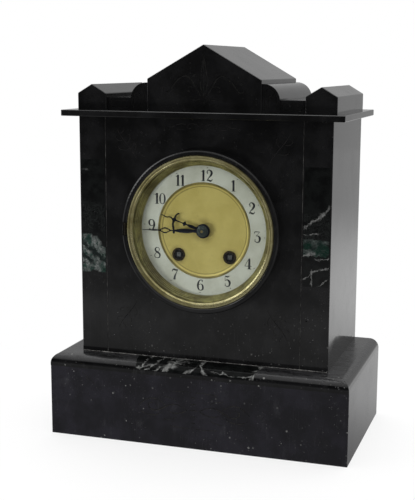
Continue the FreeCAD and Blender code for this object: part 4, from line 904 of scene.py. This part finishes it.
def enamel():
    """Cream enamel, slightly stained, with hair cracks."""
    finish, tree, shader, place = start_finish("cream_enamel", Roughness=0.22, IOR=1.5)
    body = tint(tree, spread(tree, cloud(tree, place, 45, 4.0), 0.35, 0.65),
                (0.55, 0.535, 0.46, 1), (0.655, 0.645, 0.578, 1))
    stain = spread(tree, cloud(tree, place, 95, 5.0, 0.65), 0.56, 0.72)
    body = tint(tree, maths(tree, "MULTIPLY", stain, 0.35), body, (0.48, 0.47, 0.38, 1))
    crack = ridge(tree, place, 70, 0.006, 5.0, 0.5)
    body = tint(tree, maths(tree, "MULTIPLY", crack, 0.16), body, (0.22, 0.2, 0.16, 1))
    tree.links.new(body, shader.inputs["Base Color"])
    relief(tree, shader, cloud(tree, place, 110, 2.0), 0.1, 0.3 * mm)
    return finish


def off_dial_axis(tree, place):
    """Distance from the line through the dial's middle."""
    local = vectors(tree, "SUBTRACT", place, (0, 0, dial_middle.z))
    return vectors(tree, "LENGTH", vectors(tree, "MULTIPLY", local, (1, 0, 1)))


def gilding():
    """Matt gilding, cloudy, with darker stains round the middle and the winding holes, and painted shade at
    its edge.
    """
    finish, tree, shader, place = start_finish("matt_gilding", Metallic=0.35)
    body = tint(tree, spread(tree, cloud(tree, place, 48, 5.0, 0.6), 0.35, 0.65),
                (0.66, 0.52, 0.155, 1), (0.745, 0.60, 0.198, 1))
    for x, z, reach in ((0, 0, 9.5), (winding_x, winding_z, 7.5), (-winding_x, winding_z, 7.5)):
        stain = cloud_patch(tree, place, (x, dial_z + z), (reach, reach), 0.28)
        uneven = spread(tree, cloud(tree, place, 130, 4.0), 0.3, 0.7, 0.2, 0.75)
        body = tint(tree, maths(tree, "MULTIPLY", stain, uneven), body, (0.40, 0.30, 0.09, 1))
    freckle = spread(tree, cloud(tree, place, 800, 3.0), 0.64, 0.72)
    body = tint(tree, maths(tree, "MULTIPLY", freckle, 0.4), body, (0.3, 0.23, 0.09, 1))
    radius = off_dial_axis(tree, place)
    # Painted shade: a dark band just inside the gilt's edge, under the rim bead, and a thin dark ring where
    # the dish steps down to its flat.
    painted_rim_shade = spread(tree, radius, gilt_radius - 1.3 * mm, gilt_radius - 0.5 * mm)
    line = maths(tree, "ABSOLUTE", maths(tree, "SUBTRACT", radius, gilt_radius - 2.7 * mm))
    line = spread(tree, line, 0.15 * mm, 0.55 * mm, 0.5, 0.0)
    line = maths(tree, "ADD", maths(tree, "MULTIPLY", painted_rim_shade, 0.9), line)
    body = tint(tree, line, body, (0.07, 0.05, 0.02, 1))
    tree.links.new(body, shader.inputs["Base Color"])
    dull = spread(tree, cloud(tree, place, 90, 4.0), 0.3, 0.7, 0.38, 0.55)
    tree.links.new(dull, shader.inputs["Roughness"])
    relief(tree, shader, cloud(tree, place, 1800, 2.0), 0.25, 0.06 * mm)
    return finish


low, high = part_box("chapter_ring")
dial_middle = (low + high) / 2
dial_z = dial_middle.z / mm
ring_face = low.y / mm
low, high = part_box("going_arbor")
winding_x = (low.x + high.x) / 2 / mm
winding_z = (low.z + high.z) / 2 / mm - dial_z
gilt_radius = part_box("dial_centre")[1].x
dress(frame["nodes"]["chapter_ring"], enamel())
dress(frame["nodes"]["dial_centre"], gilding())
dark_brass = metal("dark_turned_brass", (0.05, 0.034, 0.018, 1), (0.12, 0.078, 0.036, 1),
                   rough=(0.3, 0.5), grain=0.3, spots=0.6)
dress(frame["nodes"]["winding_grommets"], dark_brass)

# Numbers: plain figures and minute dots, painted in black and fired on the enamel. Each stands a little
# proud of it.


def fired_black():
    """Black enamel paint, a little uneven."""
    finish, tree, shader, place = start_finish("fired_black", Roughness=0.3)
    body = tint(tree, spread(tree, cloud(tree, place, 500, 4.0), 0.4, 0.7),
                (0.010, 0.010, 0.014, 1), (0.045, 0.045, 0.052, 1))
    tree.links.new(body, shader.inputs["Base Color"])
    relief(tree, shader, cloud(tree, place, 1500, 2.0), 0.2, 0.03 * mm)
    return finish


numeral_black = fired_black()

# Each figure is drawn as pen strokes in a box one high, as (across, up, breadth) shares of its height.
stroke_shares = {
    "0": [[(0.27, 1.0, 0.03), (0.08, 0.9, 0.09), (0.02, 0.5, 0.17), (0.08, 0.1, 0.09), (0.27, 0.0, 0.03),
           (0.46, 0.1, 0.09), (0.52, 0.5, 0.17), (0.46, 0.9, 0.09), (0.27, 1.0, 0.03)]],
    "1": [[(0.2, 0.0, 0.17), (0.2, 0.5, 0.17), (0.2, 1.0, 0.17)],
          [(0.0, 0.8, 0.04), (0.1, 0.9, 0.05), (0.2, 0.99, 0.08)],
          [(0.02, 0.01, 0.04), (0.38, 0.01, 0.04)]],
    "2": [[(0.12, 0.74, 0.17), (0.13, 0.76, 0.19), (0.14, 0.75, 0.15)],
          [(0.06, 0.78, 0.05), (0.12, 0.97, 0.06), (0.34, 1.03, 0.09), (0.56, 0.82, 0.19), (0.46, 0.52, 0.15),
           (0.2, 0.26, 0.05), (0.06, 0.06, 0.03)],
          [(0.06, 0.05, 0.06), (0.2, 0.12, 0.13), (0.4, 0.0, 0.14), (0.56, 0.08, 0.07), (0.6, 0.22, 0.03)]],
    "3": [[(0.04, 0.8, 0.05), (0.06, 0.97, 0.06), (0.3, 0.97, 0.07), (0.54, 0.97, 0.05)],
          [(0.54, 0.97, 0.04), (0.38, 0.76, 0.03), (0.2, 0.58, 0.03)],
          [(0.2, 0.58, 0.04), (0.42, 0.64, 0.08), (0.6, 0.36, 0.2), (0.5, 0.04, 0.1), (0.24, -0.02, 0.06),
           (0.08, 0.14, 0.07)],
          [(0.1, 0.17, 0.16), (0.12, 0.18, 0.18), (0.13, 0.17, 0.14)]],
    "4": [[(0.42, 1.0, 0.05), (0.2, 0.62, 0.04), (0.0, 0.28, 0.04)],
          [(0.0, 0.27, 0.05), (0.3, 0.27, 0.05), (0.66, 0.27, 0.05)],
          [(0.43, 0.0, 0.18), (0.43, 0.5, 0.18), (0.43, 0.98, 0.14)],
          [(0.24, 0.01, 0.04), (0.62, 0.01, 0.04)]],
    "5": [[(0.12, 0.98, 0.04), (0.1, 0.75, 0.03), (0.09, 0.54, 0.03)],
          [(0.12, 0.97, 0.06), (0.28, 0.9, 0.13), (0.44, 0.93, 0.1), (0.54, 1.0, 0.03)],
          [(0.09, 0.54, 0.04), (0.3, 0.68, 0.08), (0.58, 0.44, 0.2), (0.52, 0.06, 0.11), (0.24, -0.03, 0.06),
           (0.08, 0.12, 0.07)],
          [(0.1, 0.16, 0.16), (0.12, 0.17, 0.18), (0.13, 0.16, 0.14)]],
    "6": [[(0.46, 0.86, 0.15), (0.47, 0.87, 0.16), (0.46, 0.88, 0.12)],
          [(0.5, 0.92, 0.05), (0.38, 1.03, 0.05), (0.14, 0.86, 0.11), (0.02, 0.46, 0.18), (0.1, 0.08, 0.12),
           (0.29, -0.02, 0.05), (0.52, 0.08, 0.12), (0.56, 0.32, 0.17), (0.44, 0.58, 0.08), (0.22, 0.6, 0.04),
           (0.08, 0.42, 0.04)]],
    "7": [[(0.02, 0.76, 0.04), (0.03, 0.92, 0.07), (0.2, 1.0, 0.14), (0.4, 0.9, 0.14), (0.58, 0.98, 0.05)],
          [(0.57, 0.97, 0.04), (0.4, 0.6, 0.07), (0.25, 0.3, 0.16), (0.24, 0.02, 0.18)]],
    "8": [[(0.3, 1.0, 0.05), (0.1, 0.94, 0.1), (0.1, 0.66, 0.13), (0.34, 0.52, 0.15), (0.58, 0.36, 0.15),
           (0.52, 0.04, 0.1), (0.29, -0.02, 0.05), (0.04, 0.06, 0.08), (0.04, 0.34, 0.06), (0.28, 0.54, 0.04),
           (0.5, 0.7, 0.05), (0.5, 0.94, 0.07), (0.3, 1.0, 0.05)]],
}
stroke_shares["9"] = [[(0.58 - x, 1.0 - z, w) for x, z, w in stroke] for stroke in stroke_shares["6"]]
digit_width_shares = {"0": 0.54, "1": 0.34}
digit_width_share = 0.6
digit_gap_share = 0.12
numeral_height = 8.7
numeral_reach = 44.2
numeral_rise = 0.06
numeral_weight = 1.18
dial_turn = 3.3


def figures(name, marks):
    """Flat strokes half sunk in the enamel, each a row of points with its breadth, in millimetres."""
    path = thread(name, radius=1.0, roundness=2)
    path.resolution_u = 8
    for points in marks:
        pen_line(path, [(x * mm, 0, z * mm, breadth / 2 * mm) for x, z, breadth in points], order=3)
    form = solid_of(path)
    for vertex in form.data.vertices:
        vertex.co.y = (ring_face + max(-numeral_rise, min(numeral_rise, vertex.co.y / mm))) * mm
    dress(form, numeral_black)


for hour in range(1, 13):
    text = str(hour)
    widths = [digit_width_shares.get(digit, digit_width_share) for digit in text]
    across = sum(widths) + digit_gap_share * (len(text) - 1)
    turn = math.radians(30 * hour + dial_turn)
    start = numeral_reach * math.sin(turn) - across / 2 * numeral_height
    foot = dial_z + numeral_reach * math.cos(turn) - numeral_height / 2
    marks = []
    for digit, width in zip(text, widths):
        for stroke in stroke_shares[digit]:
            marks.append([(start + x * numeral_height, foot + z * numeral_height,
                           w * numeral_weight * numeral_height)
                          for x, z, w in stroke])
        start += (width + digit_gap_share) * numeral_height
    figures("numeral_%02d" % hour, marks)

minute_reach = 50.4
minute_dot = 0.42
five_dot = 1.0
dots = []
for minute in range(60):
    turn = math.radians(6 * minute + dial_turn)
    size = minute_dot if minute % 5 else five_dot
    x = minute_reach * math.sin(turn)
    z = dial_z + minute_reach * math.cos(turn)
    dots.append([(x, z - size / 4, size), (x, z, size), (x, z + size / 4, size)])
figures("minute_dots", dots)

# Hands: blued steel, sawn out and filed with softened edges. The minute hand is a tapering bar, an open
# loop and a fine tip. The hour hand pinches to a bead, crosses a crescent and ends in a wavy point. Each
# is riveted to a turned steel boss.

blued_steel = metal("blued_steel", (0.012, 0.013, 0.022, 1), (0.035, 0.04, 0.065, 1),
                    rough=(0.25, 0.45), grain=0.15, spots=0.4)
boss_steel = metal("boss_steel", (0.030, 0.040, 0.040, 1), (0.062, 0.078, 0.078, 1),
                   rough=(0.3, 0.5), grain=0.15, spots=0.4)
boss_steel.node_tree.nodes["Principled BSDF"].inputs["Metallic"].default_value = 0.35
low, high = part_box("minute_hand")
minute_front = low.y
hand_thickness = high.y - low.y
hour_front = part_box("hour_hand")[0].y
minute_angle = 268.7
hour_angle = 288.2


def turned_ring(name, outline, finish, body, steps=160):
    """A closed outline of (radius, y) points, in metres, turned about the dial's middle."""
    centre = Vector((0, 0, dial_middle.z))
    mesh = bpy.data.meshes.new(name)
    mesh.from_pydata([(centre.x + radius, y, centre.z) for radius, y in outline],
                     [(k, (k + 1) % len(outline)) for k in range(len(outline))], [])
    form = bpy.data.objects.new(name, mesh)
    scene.collection.objects.link(form)
    only(form)
    bpy.ops.object.mode_set(mode="EDIT")
    bpy.ops.mesh.select_all(action="SELECT")
    bpy.ops.mesh.spin(steps=steps, angle=2 * math.pi, center=centre, axis=(0, 1, 0))
    bpy.ops.mesh.select_all(action="SELECT")
    bpy.ops.mesh.remove_doubles(threshold=weld_reach)
    bpy.ops.mesh.normals_make_consistent(inside=False)
    bpy.ops.object.mode_set(mode="OBJECT")
    bpy.ops.object.shade_smooth_by_angle(angle=math.radians(28))
    dress(form, finish, body)
    return form


def sawn_hand(name, outlines, angle, front, boss_radius, bore, body, boss_finish):
    """Closed outlines of (along, across) points, filled, with filed edges; a hole is one more outline."""
    path = bpy.data.curves.new(name, "CURVE")
    path.dimensions = "2D"
    path.fill_mode = "BOTH"
    path.extrude = hand_thickness * 0.28
    path.bevel_depth = hand_thickness * 0.1
    path.bevel_resolution = 1
    path.resolution_u = 6
    for points in outlines:
        line = path.splines.new("BEZIER")
        line.bezier_points.add(len(points) - 1)
        for knot, (along, across, *sharp) in zip(line.bezier_points, points):
            knot.co = (across * mm, along * mm, 0)
            knot.handle_left_type = knot.handle_right_type = "VECTOR" if sharp else "AUTO"
        line.use_cyclic_u = True
    form = solid_of(path)
    form.rotation_euler = (math.radians(90), math.radians(angle), 0)
    form.location = (0, front + hand_thickness / 2, dial_middle.z)
    bpy.ops.object.transform_apply(location=True, rotation=True, scale=True)
    bpy.ops.object.mode_set(mode="EDIT")
    bpy.ops.mesh.select_all(action="SELECT")
    bpy.ops.mesh.remove_doubles(threshold=weld_reach)
    bpy.ops.mesh.normals_make_consistent(inside=False)
    bpy.ops.object.mode_set(mode="OBJECT")
    bpy.ops.object.shade_smooth_by_angle(angle=math.radians(35))
    dress(form, blued_steel, body)
    turned_ring(name + "_boss", [(bore, front + 0.02 * mm), (boss_radius * 0.55, front - 0.32 * mm),
                                 (boss_radius * 0.86, front - 0.22 * mm), (boss_radius, front + 0.12 * mm),
                                 (boss_radius, front + hand_thickness), (bore, front + hand_thickness)],
                boss_finish, body, steps=48)


def mirrored(points):
    """Half an outline, and its mirror image that closes it."""
    return points + [(along, -across, *more) for along, across, *more in reversed(points) if across]


minute_outline = mirrored([
    (-4.3, 0), (-2.6, 3.2), (0.5, 4.2), (3.6, 2.1), (6.0, 1.15), (12, 1.75), (18, 1.55), (22.5, 0.75),
    (26.5, 0.42), (29, 1.5), (31.5, 2.35), (34.2, 1.5), (36.4, 0.45), (40.5, 0.62), (44.5, 0.34),
    (48, 0.22), (51, 0.05, True)])
minute_loop = mirrored([(28.0, 0.0), (29.6, 0.95), (31.5, 1.45), (33.6, 0.95), (35.0, 0.0)])
sawn_hand("sawn_minute_hand", [minute_outline, minute_loop], minute_angle, minute_front,
          boss_radius=4.5 * mm, bore=1.95 * mm, body="centre_arbor", boss_finish=boss_steel)
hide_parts("minute_hand")
hour_outline = [(-5.1, 0), (-3.2, 3.8), (0.5, 5.0), (4.4, 2.0), (6.4, 1.0), (9.5, 1.2), (12.6, 0.9),
                (14.4, 0.42), (15.4, 0.9), (16.4, 1.9), (17.2, 0.9), (18.2, 0.4), (21.5, 0.42),
                (24.0, 0.7), (24.8, 1.7), (24.7, 3.2), (24.0, 4.9), (22.9, 6.2), (23.7, 6.5), (25.1, 5.2),
                (25.9, 3.4), (26.2, 1.7), (27.0, 0.7), (28.6, 1.25), (30.4, 1.0), (31.8, 0.3), (33.2, 0.1),
                (34.8, 0.45), (37.4, 0.0, True), (34.8, -0.2), (33.2, -0.6), (31.8, -0.5), (30.4, 0.2),
                (28.6, 0.4), (27.2, -0.6), (26.4, -1.9), (26.2, -3.7), (25.2, -6.1), (23.9, -8.5),
                (22.9, -10.7), (22.0, -10.5), (22.7, -8.0), (23.8, -5.6), (24.8, -3.4), (24.8, -1.7),
                (24.0, -0.7), (21.5, -0.42), (18.2, -0.4), (17.2, -0.9), (16.4, -1.9), (15.4, -0.9),
                (14.4, -0.42), (12.6, -0.9), (9.5, -1.2), (6.4, -1.0), (4.4, -2.0), (0.5, -5.0),
                (-3.2, -3.8)]
sawn_hand("sawn_hour_hand", [hour_outline], hour_angle, hour_front,
          boss_radius=5.8 * mm, bore=2.85 * mm, body="hour_pipe", boss_finish=blued_steel)
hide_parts("hour_hand")
dress(frame["nodes"]["hand_collet"], boss_steel)

# Dial rim: a thin turned gilt bead. It is pressed on over the joint of the enamel ring and the gilt
# centre, and hides it.

rim_bead = [(gilt_radius + out * mm, (ring_face + behind) * mm)
            for out, behind in ((0.75, -0.1), (0.55, -0.35), (0.1, -0.42), (-0.45, -0.2),
                                (-0.7, 0.25), (-0.2, 0.25), (0.75, 0.15))]
rim_gilt = metal("rim_gilt", (0.20, 0.16, 0.05, 1), (0.42, 0.34, 0.12, 1),
                 rough=(0.3, 0.45), grain=0.2, spots=0.5)
rim_gilt.node_tree.nodes["Principled BSDF"].inputs["Metallic"].default_value = 0.6
turned_ring("dial_rim", rim_bead, rim_gilt, "root")

# Bezel: a cast brass ring turned bright and now aged, with a rolled outer edge, a hollow, a thin bead and
# a lip. It holds a flat glass against a stepped gilt sight ring. A turned slate ring frames it. Its hinge
# has gone brown, with the knuckle that stands on the ring.


def ringed_metal(name, low, high, rough, lines, shine):
    """Turned metal: circular tool lines round the dial's middle, and tarnish."""
    finish, tree, shader, place = start_finish(name, Metallic=shine)
    radius = off_dial_axis(tree, place)
    rings = add_node(tree, "CombineXYZ", {0: maths(tree, "MULTIPLY", radius, lines)}).outputs[0]
    turned = cloud(tree, rings, 1.0, 3.0)
    tarnish = spread(tree, cloud(tree, place, 40, 6.0, 0.68), 0.36, 0.64)
    body = tint(tree, tarnish, high, low)
    body = tint(tree, maths(tree, "MULTIPLY", spread(tree, turned, 0.45, 0.7), 0.35), body,
                tuple(channel * 0.5 for channel in low[:3]) + (1,))
    pits = spread(tree, cloud(tree, place, 700, 3.0), 0.63, 0.72)
    body = tint(tree, maths(tree, "MULTIPLY", pits, 0.5), body, (0.06, 0.045, 0.02, 1))
    tree.links.new(body, shader.inputs["Base Color"])
    gloss = maths(tree, "ADD", spread(tree, tarnish, 0, 1, rough[0], rough[1]),
                  maths(tree, "MULTIPLY", turned, 0.1))
    tree.links.new(gloss, shader.inputs["Roughness"])
    relief(tree, shader, turned, 0.2, 0.08 * mm)
    return finish


low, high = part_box("bezel")
bezel_radius = high.x
bezel_brass = ringed_metal("bezel_brass", (0.26, 0.23, 0.10, 1), (0.54, 0.50, 0.28, 1),
                           rough=(0.20, 0.34), lines=2600, shine=0.88)
sight_gilt = ringed_metal("sight_gilt", (0.16, 0.13, 0.045, 1), (0.46, 0.41, 0.16, 1),
                          rough=(0.28, 0.42), lines=1900, shine=0.45)
hinge_brown = metal("hinge_brown", (0.03, 0.026, 0.02, 1), (0.07, 0.058, 0.036, 1),
                    rough=(0.4, 0.6), grain=0.3, spots=0.5)
dress(frame["nodes"]["bezel_hinge"], hinge_brown)
knuckle = copy_of("bezel", "bezel_knuckle", hinge_brown)
knuckle_reach = 1.1 * mm
bpy.ops.mesh.primitive_cube_add(size=1, location=(low.x + knuckle_reach, 0, dial_middle.z))
keep = bpy.context.active_object
keep.scale = (2 * knuckle_reach, 0.3, 0.3)
bpy.ops.object.transform_apply(location=True, rotation=True, scale=True)
knuckle_cut = knuckle.modifiers.new("keep", "BOOLEAN")
knuckle_cut.operation = "INTERSECT"
knuckle_cut.solver = "EXACT"
knuckle_cut.object = keep
only(knuckle)
bpy.ops.object.modifier_apply(modifier=knuckle_cut.name)
bpy.data.objects.remove(keep)
settle(knuckle, "bezel")
back = high.y / mm
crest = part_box("dial_surround")[0].y / mm + 0.3
outer = bezel_radius / mm + 0.4
lip_radius = 56.6
seat_radius = 57.6
lip_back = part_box("bezel_glass")[0].y / mm
profile = [(outer, back), (outer, crest + 1.3), (outer - 0.15, crest + 0.6), (outer - 0.6, crest + 0.15),
           (outer - 1.2, crest), (outer - 1.8, crest + 0.2), (outer - 2.05, crest + 0.75),
           (outer - 2.6, crest + 0.95),
           (outer - 2.8, crest + 0.7), (outer - 3.15, crest + 0.55), (outer - 3.5, crest + 0.75),
           (outer - 3.65, crest + 1.15), (lip_radius + 0.35, crest + 1.5), (lip_radius, lip_back - 0.5),
           (lip_radius, lip_back), (seat_radius, lip_back), (seat_radius, back)]
bezel_ring = turned_ring("turned_bezel", [(r * mm, y * mm) for r, y in profile], bezel_brass,
                         "bezel")
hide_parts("bezel")
low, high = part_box("sight_ring")
top = low.y / mm
foot = high.y / mm - 0.2
outer = high.x / mm
steps = 4
sight_top_radius = 55.0
sight_foot_radius = 52.2
tread = (sight_top_radius - sight_foot_radius) / steps
profile = [(outer, top), (sight_top_radius + 0.15, top), (sight_top_radius, top + 0.15)]
for k in range(steps):
    y = top + (foot - top) * (k + 1) / steps
    radius = sight_top_radius - tread * k
    profile += [(radius, y), (radius - tread + 0.15, y), (radius - tread, y + 0.15)]
profile += [(sight_foot_radius, foot + 0.3), (sight_foot_radius + 1.0, foot + 0.3),
            (sight_top_radius + 1.0, top + 0.8), (outer, top + 0.8)]
sight = turned_ring("turned_sight_ring", [(r * mm, y * mm) for r, y in profile], sight_gilt,
                    "bezel")
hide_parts("sight_ring")
dress(frame["nodes"]["dial_surround"], polished_slate)

# Back fittings: a flat ring and a shallow domed door of thin spun brass, yellow under old lacquer, with
# tool lines round their middle.

spun_brass = ringed_metal("spun_brass", (0.45, 0.34, 0.14, 1), (0.60, 0.47, 0.21, 1),
                          rough=(0.26, 0.40), lines=1500, shine=0.9)
for node in ("back_ring", "back_door"):
    dress(frame["nodes"][node], spun_brass)

# Glass: a thin flat disc, cut round and cemented in the bezel in front of the dial, with a little dust
# on it.


def clear_glass():
    """Thin flat glass: it lets light straight through and mirrors a little, more at a slant."""
    finish, tree, shader, place = start_finish("clear_glass")
    tree.nodes.remove(shader)
    clear = add_node(tree, "BsdfTransparent", {"Color": (0.95, 0.97, 0.96, 1)}).outputs[0]
    dust = spread(tree, cloud(tree, place, 160, 6.0, 0.7), 0.5, 0.75, 0.02, 0.12)
    mirror = add_node(tree, "BsdfGlossy", {"Color": (1, 1, 1, 1), "Roughness": dust}).outputs[0]
    slant = add_node(tree, "LayerWeight", {"Blend": 0.5}).outputs["Facing"]
    slant = maths(tree, "MULTIPLY_ADD", maths(tree, "POWER", slant, 5.0), 0.9, 0.035)
    mixed = add_node(tree, "MixShader", {0: slant, 1: clear, 2: mirror}).outputs[0]
    tree.links.new(mixed, tree.nodes["Material Output"].inputs["Surface"])
    return finish


dress(frame["nodes"]["bezel_glass"], clear_glass())
